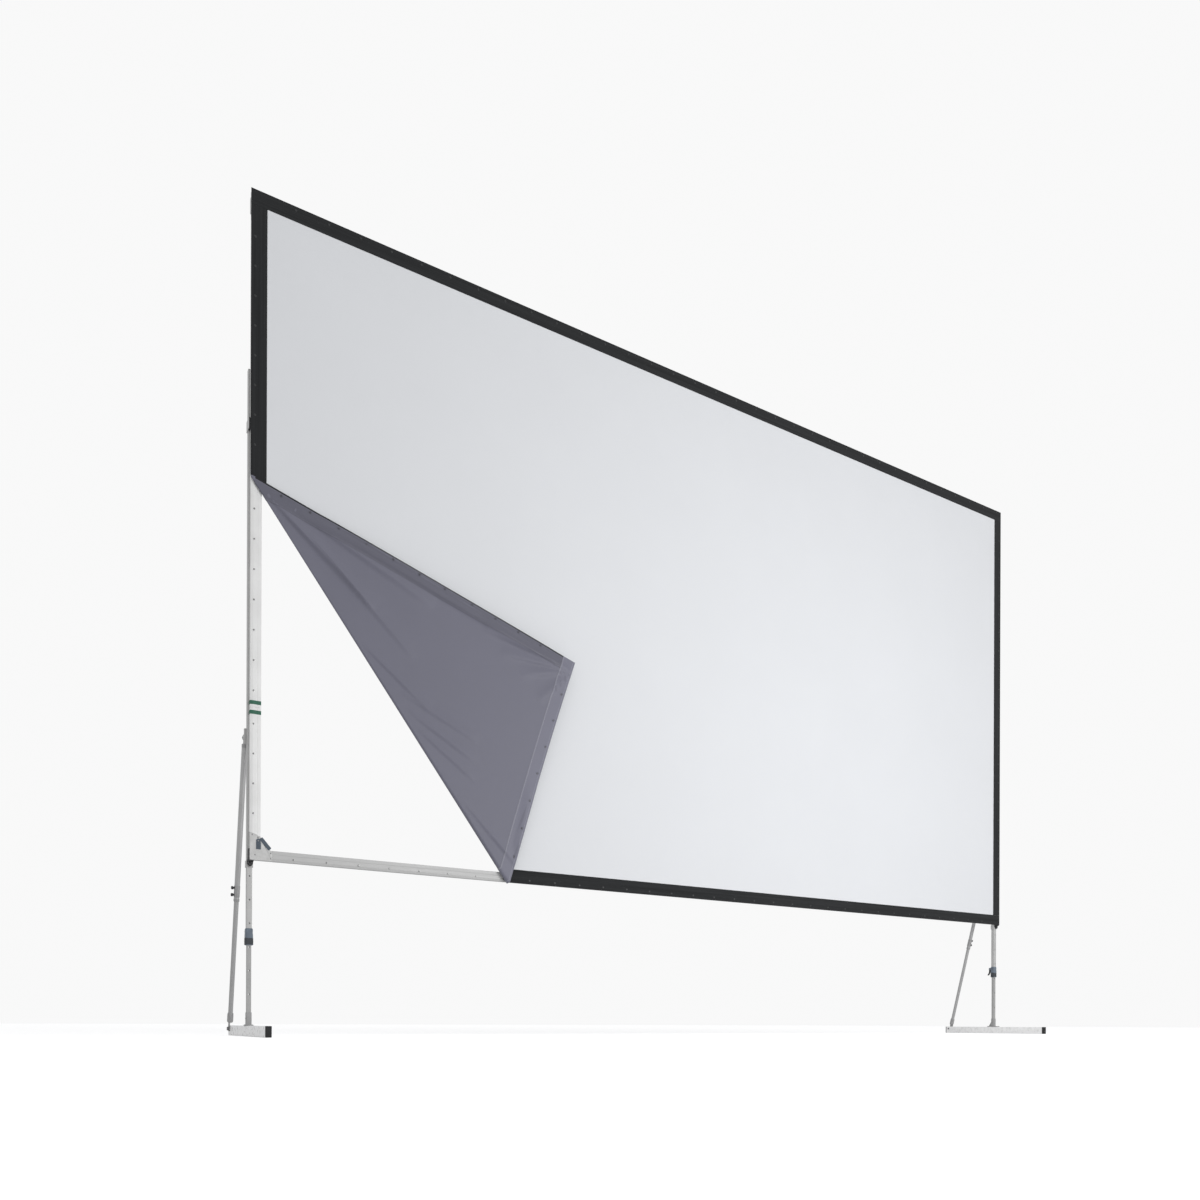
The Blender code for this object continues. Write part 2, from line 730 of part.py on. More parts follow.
def upright_pieces(label, carrier):
    """Upright tube, the collar at its foot and the lever that clamps the inner tube."""
    half = UPRIGHT_W / 2
    outer, bore = square_tube(half, TUBE_WALL, UPRIGHT_FOOT, UPRIGHT_TOP)
    holes = index_holes(COLLAR_TOP + INDEX_R * 2, UPRIGHT_TOP - INDEX_PITCH / 2, half)
    piece(f"{label}_upright", LEG_METAL, carrier, outer, ("cut", bore), ("cut", holes))

    seat = half + GAP
    low_half, top_half = seat + COLLAR_LOW_WALL, seat + COLLAR_TOP_WALL
    lower = block((-low_half, -low_half, COLLAR_FOOT), (low_half, low_half, COLLAR_STEP))
    upper = block((-top_half, -top_half, COLLAR_STEP - BITE), (top_half, top_half, COLLAR_TOP))
    upright_seat = block((-seat, -seat, UPRIGHT_FOOT - GAP), (seat, seat, COLLAR_TOP + OVERRUN))
    guide = INNER_W / 2 + GAP
    inner_seat = block((-guide, -guide, COLLAR_FOOT - OVERRUN), (guide, guide, UPRIGHT_FOOT))
    pivot_y = top_half + LEVER_PIVOT_BACK
    ear_low, ear_high = LEVER_PIVOT_Z - EAR_H / 2, LEVER_PIVOT_Z + EAR_H / 2
    ear_in = LEVER_W / 2 + SLIP
    ear_out = ear_in + EAR_T
    ears = merged(
        block(
            (sign * ear_in, top_half - BITE, ear_low),
            (sign * ear_out, pivot_y + LEVER_PIN_R * 2, ear_high),
        )
        for sign in (-1, 1)
    )
    pin = rod(
        (-ear_out + BITE, pivot_y, LEVER_PIVOT_Z), (ear_out - BITE, pivot_y, LEVER_PIVOT_Z),
        LEVER_PIN_R, SMALL_SIDES,
    )
    piece(
        f"{label}_height_collar", BLUE_GREY, carrier, lower, ("join", upper), ("cut", upright_seat),
        ("cut", inner_seat), ("join", ears), ("join", pin),
    )

    lever = axis_point(f"{label}_lever_axis", (0, pivot_y, LEVER_PIVOT_Z), carrier)
    reach = LEVER_W / 2
    barrel = rod((-reach, 0, 0), (reach, 0, 0), LEVER_BARREL_R)
    inner_y = LEVER_BARREL_R - LEVER_T
    arm_outline = [
        (inner_y, 0),
        (inner_y, -LEVER_L / 2),
        (inner_y + LEVER_FLARE, -LEVER_L),
        (inner_y + LEVER_FLARE + LEVER_T, -LEVER_L),
        (LEVER_BARREL_R, -LEVER_L / 2),
        (LEVER_BARREL_R, 0),
    ]
    arm = plate(arm_outline, LEVER_W - BITE, TO_YZ)
    hole = rod((-OVERRUN, 0, 0), (OVERRUN, 0, 0), LEVER_PIN_R + SLIP, SMALL_SIDES)
    piece(f"{label}_height_lever", BLACK, lever, barrel, ("join", arm), ("cut", hole))


def frame_clamps(label, side, carrier):
    """The shelf that the frame's corner stands on, its screw, and the hook higher up."""
    half = UPRIGHT_W / 2
    seat = half + GAP
    shell = seat + SHELF_OUT
    top = FRAME_FOOT - GAP
    foot = top - SHELF_H
    sleeve = block((-shell, -shell, foot), (shell, shell, top))
    front = FRAME_FRONT_Y + BITE
    shelf = block((-shell, front, top - SHELF_PLATE_T), (shell, 0, top))
    frame_edge = FRAME_X - LEG_X
    wall = block(
        (side * (frame_edge + GAP), front, top - BITE),
        (side * (frame_edge + GAP + SHELF_SIDE_T), -seat, top + SHELF_SIDE_RISE),
    )
    bore = block((-seat, -seat, foot - OVERRUN), (seat, seat, top + OVERRUN))
    knob_z = top - SHELF_KNOB_DROP
    thread = rod(
        (0, -seat + BITE, knob_z), (0, -shell - OVERRUN, knob_z), KNOB_STEM_R + SLIP, SMALL_SIDES
    )
    piece(
        f"{label}_shelf_clamp", BLACK, carrier, sleeve, ("join", shelf), ("join", wall),
        ("cut", bore), ("cut", thread),
    )
    knob = axis_point(f"{label}_shelf_knob_axis", (0, 0, knob_z), carrier)
    head_low = shell + SLIP
    head = star(SHELF_KNOB_R, head_low, head_low + SHELF_KNOB_L, (0, 0, 0), (0, -1, 0))
    stem = rod((0, -half - GAP, 0), (0, -head_low - BITE, 0), KNOB_STEM_R, SMALL_SIDES)
    piece(f"{label}_shelf_knob", BLACK, knob, head, ("join", stem))

    inner_edge = frame_edge - PROFILE_W
    low, high = HOOK_Z - HOOK_H / 2, HOOK_Z + HOOK_H / 2
    back = seat + HOOK_BACK_T
    jaw_front = FRAME_FRONT_Y + HOOK_SHORT
    span_in = side * (inner_edge - GAP - HOOK_T)
    span_out = side * (seat + HOOK_T)
    back_plate = block((span_in, seat, low), (span_out, back, high))
    inner_jaw = block((span_in, jaw_front, low), (side * (inner_edge - GAP), seat + BITE, high))
    outer_jaw = block((side * seat, jaw_front, low), (span_out, seat + BITE, high))
    filler = block(
        (side * (frame_edge + GAP), jaw_front, low), (side * (seat + BITE), -seat, high)
    )
    piece(
        f"{label}_hook_clamp", LEG_METAL, carrier, back_plate, ("join", inner_jaw),
        ("join", outer_jaw), ("join", filler),
    )


def sliding_pieces(label, side, carrier):
    """Inner tube, foot bracket and foot bar."""
    half = INNER_W / 2
    bar_half = FOOT_W / 2
    inner_foot = BASE_TOP + GAP
    outer, bore = square_tube(half, TUBE_WALL, inner_foot, INNER_TOP)
    holes = index_holes(SOCKET_TOP, INNER_TOP - INDEX_PITCH / 2, half)
    piece(f"{label}_inner_tube", LEG_METAL, carrier, outer, ("cut", bore), ("cut", holes))

    seat = half + GAP
    socket_half = seat + SOCKET_WALL
    base_half = socket_half + BASE_LIP
    base = block((-base_half, -BASE_L / 2, BASE_LOW), (base_half, BASE_L / 2, BASE_TOP))
    socket = block(
        (-socket_half, -socket_half, BASE_TOP - BITE), (socket_half, socket_half, SOCKET_TOP)
    )
    rib_outline = [
        (socket_half - BITE, BASE_TOP - BITE),
        (socket_half + SOCKET_RIB_OUT, BASE_TOP - BITE),
        (socket_half - BITE, SOCKET_TOP - BASE_T),
    ]
    rib = plate(rib_outline, SOCKET_RIB_T, TO_YZ)
    well = block((-seat, -seat, BASE_TOP), (seat, seat, SOCKET_TOP + OVERRUN))
    piece(
        f"{label}_foot_bracket", LEG_METAL, carrier, base, ("join", socket), ("join", rib),
        ("cut", well),
    )

    front = -FOOT_L / 2 + FOOT_CAP_L + GAP
    rear = FOOT_L / 2 - FOOT_END_L - GAP
    bar = block((-bar_half, front, 0), (bar_half, rear, FOOT_H))
    bore_half = bar_half - TUBE_WALL
    bar_bore = block(
        (-bore_half, front - OVERRUN, TUBE_WALL), (bore_half, rear + OVERRUN, FOOT_H - TUBE_WALL)
    )
    pin_hole = rod(
        (-bar_half - OVERRUN, BRACE_FOOT_BACK, BRACE_FOOT_Z),
        (bar_half + OVERRUN, BRACE_FOOT_BACK, BRACE_FOOT_Z),
        BRACE_PIN_R + GAP,
        SMALL_SIDES,
    )
    piece(f"{label}_foot_bar", FOOT_METAL, carrier, bar, ("cut", bar_bore), ("cut", pin_hole))

    plug_half = bore_half - GAP
    plug_low, plug_high = TUBE_WALL + GAP, FOOT_H - TUBE_WALL - GAP
    cap = block((-bar_half, -FOOT_L / 2, 0), (bar_half, -FOOT_L / 2 + FOOT_CAP_L, FOOT_H))
    cap_plug = block(
        (-plug_half, -FOOT_L / 2 + FOOT_CAP_L - BITE, plug_low),
        (plug_half, front + PLUG_L, plug_high),
    )
    piece(f"{label}_foot_cap", BLACK, carrier, cap, ("join", cap_plug))
    end = block((-bar_half, FOOT_L / 2 - FOOT_END_L, 0), (bar_half, FOOT_L / 2, FOOT_H))
    end_plug = block(
        (-plug_half, rear - PLUG_L, plug_low), (plug_half, rear + GAP + BITE, plug_high)
    )
    piece(f"{label}_foot_end", LEG_METAL, carrier, end, ("join", end_plug))

    pin_at = (BRACE_FOOT_BACK, BRACE_FOOT_Z)
    cheek_out = bar_half + SLIP + CHEEK_T
    head_in = side * (cheek_out + SLIP)
    head_out = side * (cheek_out + SLIP + FOOT_PIN_HEAD_T)
    nut_in = -side * (bar_half + GAP)
    nut_out = -side * (bar_half + GAP + FOOT_NUT_T)
    shank_ends = (nut_out + side * BITE, head_in + side * BITE)
    shank = rod((shank_ends[0], *pin_at), (shank_ends[1], *pin_at), BRACE_PIN_R, SMALL_SIDES)
    head = rod((head_in, *pin_at), (head_out, *pin_at), FOOT_PIN_HEAD_R)
    nut = rod((nut_in, *pin_at), (nut_out, *pin_at), FOOT_NUT_R, SMALL_SIDES)
    piece(f"{label}_foot_pin", LEG_METAL, carrier, head, ("join", shank), ("join", nut))


def brace(label, side):
    """Bracket, upper tube with its eye, lower tube with its cheek, and two knobs that lock them."""
    out = BRACE_OUT
    seat_y = UPRIGHT_W / 2 + GAP
    fixed = axis_point(f"{label}_bracket_axis", (side * LEG_X, 0, BRACE_TOP_Z), ROOT)
    ear_in = EYE_W / 2 + SLIP
    ear_out = ear_in + BRACKET_EAR_T
    wide = out + ear_out
    base = block(
        (-side * UPRIGHT_W / 2, seat_y, -BRACKET_H / 2), (side * wide, seat_y + BRACKET_T, BRACKET_H / 2)
    )
    ears = merged(
        block(
            (side * (out + sign * ear_in), seat_y + BRACKET_T - BITE, -BRACKET_EAR_H / 2),
            (side * (out + sign * ear_out), BRACE_TOP_BACK + EYE_R, BRACKET_EAR_H / 2),
        )
        for sign in (-1, 1)
    )
    pin = rod(
        (side * (out - ear_out + BITE), BRACE_TOP_BACK, 0),
        (side * (out + ear_out - BITE), BRACE_TOP_BACK, 0),
        BRACE_PIN_R,
        SMALL_SIDES,
    )
    piece(f"{label}_brace_bracket", LEG_METAL, fixed, base, ("join", ears), ("join", pin))

    pivot = (side * (LEG_X + out), BRACE_TOP_BACK, BRACE_TOP_Z)
    upper = axis_point(f"{label}_brace_axis", pivot, ROOT, BRACE_LEAN)
    tube = rod((0, 0, -EYE_L), (0, 0, -BRACE_UPPER_L), BRACE_UPPER_R)
    bore_r = BRACE_UPPER_R - BRACE_WALL
    bore = rod((0, 0, -EYE_L - BRACE_UPPER_R), (0, 0, -BRACE_UPPER_L - OVERRUN), bore_r)
    eye = plate(round_end((0, 0), EYE_R, EYE_L + BITE), EYE_W, TO_YZ)
    eye_hole = rod((-OVERRUN, 0, 0), (OVERRUN, 0, 0), BRACE_PIN_R + SLIP, SMALL_SIDES)
    knob_places = [up - BRACE_UPPER_L for up in KNOB_UP]
    face = BRACE_UPPER_R + BOSS_L
    bosses = merged(rod((0, 0, z), (side * face, 0, z), BOSS_R, SMALL_SIDES) for z in knob_places)
    threads = merged(
        rod((side * bore_r / 2, 0, z), (side * (face + OVERRUN), 0, z), KNOB_STEM_R + SLIP, SMALL_SIDES)
        for z in knob_places
    )
    piece(
        f"{label}_brace_upper", LEG_METAL, upper, tube, ("join", bosses), ("join", eye),
        ("cut", eye_hole), ("cut", bore), ("cut", threads),
    )
    for level, z in zip(("upper", "lower"), knob_places):
        turning = axis_point(f"{label}_knob_{level}_axis", (0, 0, z), upper)
        head_low = face + KNOB_STAND
        head = star(KNOB_R, head_low, head_low + KNOB_L, (0, 0, 0), (side, 0, 0))
        tip = BRACE_LOWER_R + GAP
        stem = rod((side * tip, 0, 0), (side * (head_low + BITE), 0, 0), KNOB_STEM_R, SMALL_SIDES)
        piece(f"{label}_brace_knob_{level}", BLACK, turning, head, ("join", stem))

    lower = axis_point(f"{label}_brace_slide_axis", (0, 0, 0), upper)
    top_end = -BRACE_UPPER_L + BRACE_OVERLAP
    fitting_top = -BRACE_L + FITTING_UP + FITTING_L
    fitting_foot = -BRACE_L + FITTING_UP
    inner_tube = rod((0, 0, top_end), (0, 0, fitting_foot + BITE), BRACE_LOWER_R)
    inner_bore = rod(
        (0, 0, top_end + OVERRUN), (0, 0, fitting_foot + FITTING_R), BRACE_LOWER_R - BRACE_WALL
    )
    fitting = rod((0, 0, fitting_top), (0, 0, fitting_foot), FITTING_R)
    cheek_in = FOOT_W / 2 + SLIP - out
    cheek_out = cheek_in + CHEEK_T
    middle = Matrix.Translation((side * (cheek_in + cheek_out) / 2, 0, -BRACE_L))
    turned = Matrix.Rotation(math.pi, 4, "X") @ TO_YZ
    cheek = plate(round_end((0, 0), CHEEK_R, CHEEK_L), CHEEK_T, middle @ turned)
    pin_hole = rod(
        (-OVERRUN, 0, -BRACE_L), (OVERRUN * 2, 0, -BRACE_L), BRACE_PIN_R + OPEN_PLAY, SMALL_SIDES
    )
    piece(
        f"{label}_brace_lower", LEG_METAL, lower, inner_tube, ("join", fitting), ("join", cheek),
        ("cut", inner_bore), ("cut", pin_hole),
    )


ROOT = axis_point("screen_origin", (0, 0, 0))
frame_lengths()
for CORNER in CORNERS:
    corner_casting(CORNER)
    corner_latch(CORNER)
screen_cloth()
border_strips()
leg("left", -1)
leg("right", 1)
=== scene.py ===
"""A free-standing rear projection screen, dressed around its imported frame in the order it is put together.

Each section below makes one kind of piece with its own sizes, finish and surface, in metres, +Z up, the
audience at -Y.
"""

import json
import math

import bmesh
import bpy
import numpy as np
from mathutils import Matrix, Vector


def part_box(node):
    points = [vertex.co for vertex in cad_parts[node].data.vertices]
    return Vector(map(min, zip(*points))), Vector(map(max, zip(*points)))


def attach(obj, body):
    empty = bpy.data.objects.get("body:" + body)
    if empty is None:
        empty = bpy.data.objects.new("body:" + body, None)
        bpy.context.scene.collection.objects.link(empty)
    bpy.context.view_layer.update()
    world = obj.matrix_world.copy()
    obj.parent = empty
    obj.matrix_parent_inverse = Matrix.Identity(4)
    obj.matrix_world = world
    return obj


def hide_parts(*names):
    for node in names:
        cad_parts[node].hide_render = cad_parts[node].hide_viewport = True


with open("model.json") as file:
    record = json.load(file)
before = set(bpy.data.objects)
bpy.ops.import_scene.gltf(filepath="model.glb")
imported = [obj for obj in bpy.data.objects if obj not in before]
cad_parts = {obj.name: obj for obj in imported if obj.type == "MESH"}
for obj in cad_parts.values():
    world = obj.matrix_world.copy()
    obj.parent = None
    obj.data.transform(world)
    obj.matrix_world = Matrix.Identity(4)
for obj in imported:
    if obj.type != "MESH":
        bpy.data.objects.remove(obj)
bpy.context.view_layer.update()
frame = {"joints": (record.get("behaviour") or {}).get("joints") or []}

# The photographer stands low, in front and to the left, with a level lens.
# The picture is shifted up, as a rising front does, to take in the whole screen.
EYE = (-4.3958, -5.6894, 0.0819)
PAN = 0.5445
ROLL = 0.0035
LENS_MM = 28.847
SENSOR_MM = 36.0
RISING_FRONT = 0.3525
CLIP_END = 200.0

camera = bpy.data.objects.new("camera", bpy.data.cameras.new("camera"))
camera.data.lens = LENS_MM
camera.data.sensor_width = SENSOR_MM
camera.data.shift_y = RISING_FRONT
camera.data.clip_end = CLIP_END
level = Matrix.Rotation(-PAN, 4, "Z") @ Matrix.Rotation(math.pi / 2, 4, "X")
camera.matrix_world = Matrix.Translation(EYE) @ level @ Matrix.Rotation(ROLL, 4, "Z")
bpy.context.scene.collection.objects.link(camera)
bpy.context.scene.camera = camera
bpy.context.scene.view_settings.view_transform = "Standard"

# The studio is a white room, brightest in front of the screen, on a floor that the lens sees as white.
# One broad soft light hangs in front of the screen's middle right and gives its face a bright centre.
ROOM_SEEN = (0.945, 0.945, 0.945, 1)
ROOM_DIM = (0.63, 0.635, 0.645, 1)
ROOM_BRIGHT = (0.80, 0.80, 0.80, 1)
ROOM_LEAN = (-0.30, -0.85, -0.20)
KEY_PLACE = (1.4, -6.2, 2.3)
KEY_SIZE = 2.8
KEY_WATTS = 176
FLOOR_SIZE = 60.0
FLOOR_DROP = 0.001
FLOOR_GLOW_FAR = 0.43
FLOOR_GLOW_NEAR = 0.52
FLOOR_FADE = (-2.0, 1.0)
FLOOR_GREY = (0.80, 0.80, 0.80, 1)
FLOOR_ROUGHNESS = 0.9
FLOOR_GLOSS = 0.1
WHITE = (1, 1, 1, 1)
ROOM_SPAN = 0.9

world = bpy.data.worlds.new("studio")
world.use_nodes = True
bpy.context.scene.world = world
sky = world.node_tree
sky.nodes.clear()
direction = sky.nodes.new("ShaderNodeTexCoord")
lean = sky.nodes.new("ShaderNodeVectorMath")
lean.operation = "DOT_PRODUCT"
lean.inputs[1].default_value = ROOM_LEAN
ramp = sky.nodes.new("ShaderNodeMapRange")
ramp.inputs["From Min"].default_value = -ROOM_SPAN
ramp.inputs["From Max"].default_value = ROOM_SPAN
shade = sky.nodes.new("ShaderNodeMix")
shade.data_type = "RGBA"
shade.inputs[6].default_value = ROOM_DIM
shade.inputs[7].default_value = ROOM_BRIGHT
seen = sky.nodes.new("ShaderNodeLightPath")
pick = sky.nodes.new("ShaderNodeMix")
pick.data_type = "RGBA"
pick.inputs[7].default_value = ROOM_SEEN
glow = sky.nodes.new("ShaderNodeBackground")
out = sky.nodes.new("ShaderNodeOutputWorld")
sky.links.new(direction.outputs["Generated"], lean.inputs[0])
sky.links.new(lean.outputs["Value"], ramp.inputs["Value"])
sky.links.new(ramp.outputs["Result"], shade.inputs[0])
sky.links.new(shade.outputs[2], pick.inputs[6])
sky.links.new(seen.outputs["Is Camera Ray"], pick.inputs[0])
sky.links.new(pick.outputs[2], glow.inputs["Color"])
sky.links.new(glow.outputs[0], out.inputs[0])

key = bpy.data.objects.new("key_light", bpy.data.lights.new("key_light", "AREA"))
key.data.energy = KEY_WATTS
key.data.size = KEY_SIZE
key.location = KEY_PLACE
key.rotation_euler = (math.pi / 2, 0, 0)
key.visible_camera = False
bpy.context.scene.collection.objects.link(key)

floor_mesh = bpy.data.meshes.new("floor")
half = FLOOR_SIZE / 2
floor_corners = [(-half, -half), (half, -half), (half, half), (-half, half)]
floor_mesh.from_pydata([(x, y, -FLOOR_DROP) for x, y in floor_corners], [], [(0, 1, 2, 3)])
floor = bpy.data.objects.new("floor", floor_mesh)
bpy.context.scene.collection.objects.link(floor)
paper = bpy.data.materials.new("white_floor")
paper.use_nodes = True
paper_shader = paper.node_tree.nodes["Principled BSDF"]
paper_shader.inputs["Base Color"].default_value = FLOOR_GREY
paper_shader.inputs["Roughness"].default_value = FLOOR_ROUGHNESS
paper_shader.inputs["Specular IOR Level"].default_value = FLOOR_GLOSS
paper_shader.inputs["Emission Color"].default_value = WHITE
paper_place = paper.node_tree.nodes.new("ShaderNodeTexCoord")
paper_depth = paper.node_tree.nodes.new("ShaderNodeSeparateXYZ")
paper_fade = paper.node_tree.nodes.new("ShaderNodeMapRange")
paper_fade.inputs["From Min"].default_value, paper_fade.inputs["From Max"].default_value = FLOOR_FADE
paper_fade.inputs["To Min"].default_value = FLOOR_GLOW_NEAR
paper_fade.inputs["To Max"].default_value = FLOOR_GLOW_FAR
paper_seen = paper.node_tree.nodes.new("ShaderNodeLightPath")
paper_glow = paper.node_tree.nodes.new("ShaderNodeMath")
paper_glow.operation = "MULTIPLY"
paper.node_tree.links.new(paper_place.outputs["Object"], paper_depth.inputs[0])
paper.node_tree.links.new(paper_depth.outputs["Y"], paper_fade.inputs["Value"])
paper.node_tree.links.new(paper_seen.outputs["Is Camera Ray"], paper_glow.inputs[0])
paper.node_tree.links.new(paper_fade.outputs["Result"], paper_glow.inputs[1])
paper.node_tree.links.new(paper_glow.outputs[0], paper_shader.inputs["Emission Strength"])
floor_mesh.materials.append(paper)

# Frame lengths: hollow satin aluminium extrusion with a sloped outer lip and one shallow groove.
# The sides and rails are each three lengths, cut square at the joints and slanted at the corners,
# with a plug in the end that slides into the next length.
PROFILE_W = 0.060
PROFILE_D = 0.030
PROFILE_WALL = 0.0025
LIP_W = 0.015
LIP_D = 0.004
GROOVE_AT = 0.036
GROOVE_W = 0.003
GROOVE_D = 0.001
EDGE_R = 0.0022
END_EASE = 0.0005
JOINT_SLANT = 0.013
PLUG_L = 0.050
FIT = 0.0003
ALUMINIUM = (0.79, 0.79, 0.785)
STRAIGHT_TURN = 0.05
ROOM_USED = 0.98
SHORTEST = 1e-9
SHARPEST = 0.3


def rounded(outline, radius, steps=4):
    """An outline with its corners rounded.

    Each corner becomes an arc that touches both of its edges: the arc starts radius * tan(turn / 2) before
    the corner, and its centre lies one radius inward from that point.
    """
    outline = np.asarray(outline, float)
    points = []
    for before, corner, after in zip(np.roll(outline, 1, 0), outline, np.roll(outline, -1, 0)):
        arriving, leaving = corner - before, after - corner
        room = min(np.linalg.norm(arriving), np.linalg.norm(leaving)) / 2
        arriving, leaving = arriving / np.linalg.norm(arriving), leaving / np.linalg.norm(leaving)
        turn = math.atan2(arriving[0] * leaving[1] - arriving[1] * leaving[0], arriving @ leaving)
        if abs(turn) < STRAIGHT_TURN:
            points.append(corner[None])
            continue
        reach = min(radius * math.tan(abs(turn) / 2), room * ROOM_USED)
        fitted = reach / math.tan(abs(turn) / 2)
        side = math.copysign(1, turn)
        centre = corner - arriving * reach + side * fitted * np.array([-arriving[1], arriving[0]])
        angle = math.atan2(*(corner - arriving * reach - centre)[::-1]) + np.linspace(0, turn, steps + 1)
        points.append(centre + fitted * np.stack([np.cos(angle), np.sin(angle)], 1))
    return np.concatenate(points)


def inset(outline, distance):
    """An outline moved inward: each point goes along its edges' bisector by distance / cos(half turn)."""
    before = outline - np.roll(outline, 1, 0)
    after = np.roll(outline, -1, 0) - outline
    normals = []
    for edge in (before, after):
        edge = edge / np.maximum(np.linalg.norm(edge, axis=1, keepdims=True), SHORTEST)
        normals.append(np.stack([-edge[:, 1], edge[:, 0]], 1))
    bisector = normals[0] + normals[1]
    bisector /= np.maximum((bisector * bisector).sum(1, keepdims=True) / 2, SHARPEST)
    x, y = outline[:, 0], outline[:, 1]
    turning = np.sign((x * np.roll(y, -1) - y * np.roll(x, -1)).sum())
    return outline + turning * bisector * distance


def skin(rings, closed=False):
    """Points and faces of a skin over rings of points.

    Neighbouring rings are joined by quads. The end rings are filled, or joined to each other if closed.
    """
    rings = np.asarray(rings, float)
    count, around = rings.shape[:2]
    index = np.arange(count * around).reshape(count, around)
    here = index if closed else index[:-1]
    there = np.roll(index, -1, 0) if closed else index[1:]
    quads = np.stack([here, np.roll(here, -1, 1), np.roll(there, -1, 1), there], -1).reshape(-1, 4).tolist()
    if not closed:
        quads += [index[0][::-1].tolist(), index[-1].tolist()]
    return rings.reshape(-1, 3), quads


def built(name, shapes):
    """An object made of one or more closed shapes, with its faces pointing out."""
    points, faces, start = [], [], 0
    for shape_points, shape_faces in shapes:
        points.append(shape_points)
        faces += [[corner + start for corner in face] for face in shape_faces]
        start += len(shape_points)
    mesh = bpy.data.meshes.new(name)
    mesh.from_pydata(np.concatenate(points).tolist(), [], faces)
    shape = bmesh.new()
    shape.from_mesh(mesh)
    bmesh.ops.recalc_face_normals(shape, faces=shape.faces)
    shape.to_mesh(mesh)
    shape.free()
    made = bpy.data.objects.new(name, mesh)
    bpy.context.scene.collection.objects.link(made)
    return made


def settled(made, angle):
    """The object with its modifiers applied, smooth but for edges that turn more than the angle."""
    mesh = bpy.data.meshes.new_from_object(made.evaluated_get(bpy.context.evaluated_depsgraph_get()))
    made.modifiers.clear()
    made.data = mesh
    mesh.shade_smooth()
    mesh.set_sharp_from_angle(angle=math.radians(angle))
    flatter = made.modifiers.new("flat_faces_stay_flat", "WEIGHTED_NORMAL")
    flatter.keep_sharp = True


def add(name, shapes, finish, body="frame", nodes=(), angle=32, holes=()):
    """One piece from closed shapes, less its holes, riding on a body, in the finish's material and slot."""
    made = built(name, shapes)
    made.data.materials.append(finish)
    cutter = built(f"{name}_holes", holes) if holes else None
    if cutter:
        drilled = made.modifiers.new("holes", "BOOLEAN")
        drilled.operation = "DIFFERENCE"
        drilled.solver = "MANIFOLD"
        drilled.object = cutter
    settled(made, angle)
    if cutter:
        bpy.data.objects.remove(cutter)
    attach(made, body)
    if nodes:
        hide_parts(*nodes)
    return made


class Wiring:
    """Short ways to place and join the nodes of one tree."""

    def __init__(self, tree):
        """Keeps the tree that the nodes go in."""
        self.tree = tree

    def give(self, socket, given):
        """Links a socket to another one, or sets its value."""
        if isinstance(given, bpy.types.NodeSocket):
            self.tree.links.new(given, socket)
        else:
            socket.default_value = given

    def node(self, kind, **given):
        """A node of a kind, its inputs linked or set by name."""
        made = self.tree.nodes.new(f"ShaderNode{kind}")
        for name, value in given.items():
            self.give(made.inputs[name.replace("_", " ")], value)
        return made

    def maths(self, operation, *given):
        """What one operation makes of numbers or sockets."""
        made = self.tree.nodes.new("ShaderNodeMath")
        made.operation = operation
        for socket, value in zip(made.inputs, given):
            self.give(socket, value)
        return made.outputs[0]

    def spread(self, value, low, high, start=0.3, end=0.7):
        """A value that goes from low to high while the given one goes from start to end."""
        made = self.node("MapRange", Value=value, From_Min=start, From_Max=end, To_Min=low, To_Max=high)
        return made.outputs["Result"]

    def tint(self, share, first, second):
        """A colour between two, each a colour or a socket."""
        made = self.tree.nodes.new("ShaderNodeMix")
        made.data_type = "RGBA"
        self.tree.links.new(share, made.inputs[0])
        for socket, given in ((made.inputs[6], first), (made.inputs[7], second)):
            self.give(socket, (*given, 1) if isinstance(given, tuple) else given)
        return made.outputs[2]

    def place(self, effect, output, **given):
        """An effect group with its own values, and the one output that is asked for."""
        made = self.tree.nodes.new("ShaderNodeGroup")
        made.node_tree = effect
        for name, value in given.items():
            self.give(made.inputs[name], value)
        return made.outputs[output]


def effect(name, numbers, output):
    """A node group that reads a Vector and these numbers: the group, its inputs, its output, its wiring."""
    made = bpy.data.node_groups.new(name, "ShaderNodeTree")
    made.interface.new_socket("Vector", in_out="INPUT", socket_type="NodeSocketVector")
    for label, value in numbers.items():
        made.interface.new_socket(label, in_out="INPUT", socket_type="NodeSocketFloat").default_value = value
    made.interface.new_socket(output, in_out="OUTPUT", socket_type="NodeSocketFloat")
    given = made.nodes.new("NodeGroupInput").outputs
    result = made.nodes.new("NodeGroupOutput").inputs[output]
    return made, given, result, Wiring(made)


def mixed(colour, share):
    """A colour made lighter, or darker below nothing, by a share of itself."""
    return tuple(min(1.0, c * (1 + share)) for c in colour)


# Clouds: broad uneven patches from handling. Lines: fine marks, drawn out by a squeezed Vector.
CLOUDS, given, result, wires = effect("clouds", {"Size": 0.25}, "Cloud")
noise = wires.node("TexNoise", Vector=given["Vector"], Detail=5.0, Roughness=0.6)
wires.give(noise.inputs["Scale"], wires.maths("DIVIDE", 1.0, given["Size"]))
wires.give(result, noise.outputs["Fac"])

LINES, given, result, wires = effect("lines", {"Pitch": 0.004}, "Lines")
noise = wires.node("TexNoise", Vector=given["Vector"], Detail=3.0, Roughness=0.65)
wires.give(noise.inputs["Scale"], wires.maths("DIVIDE", 1.0, given["Pitch"]))
wires.give(result, noise.outputs["Fac"])

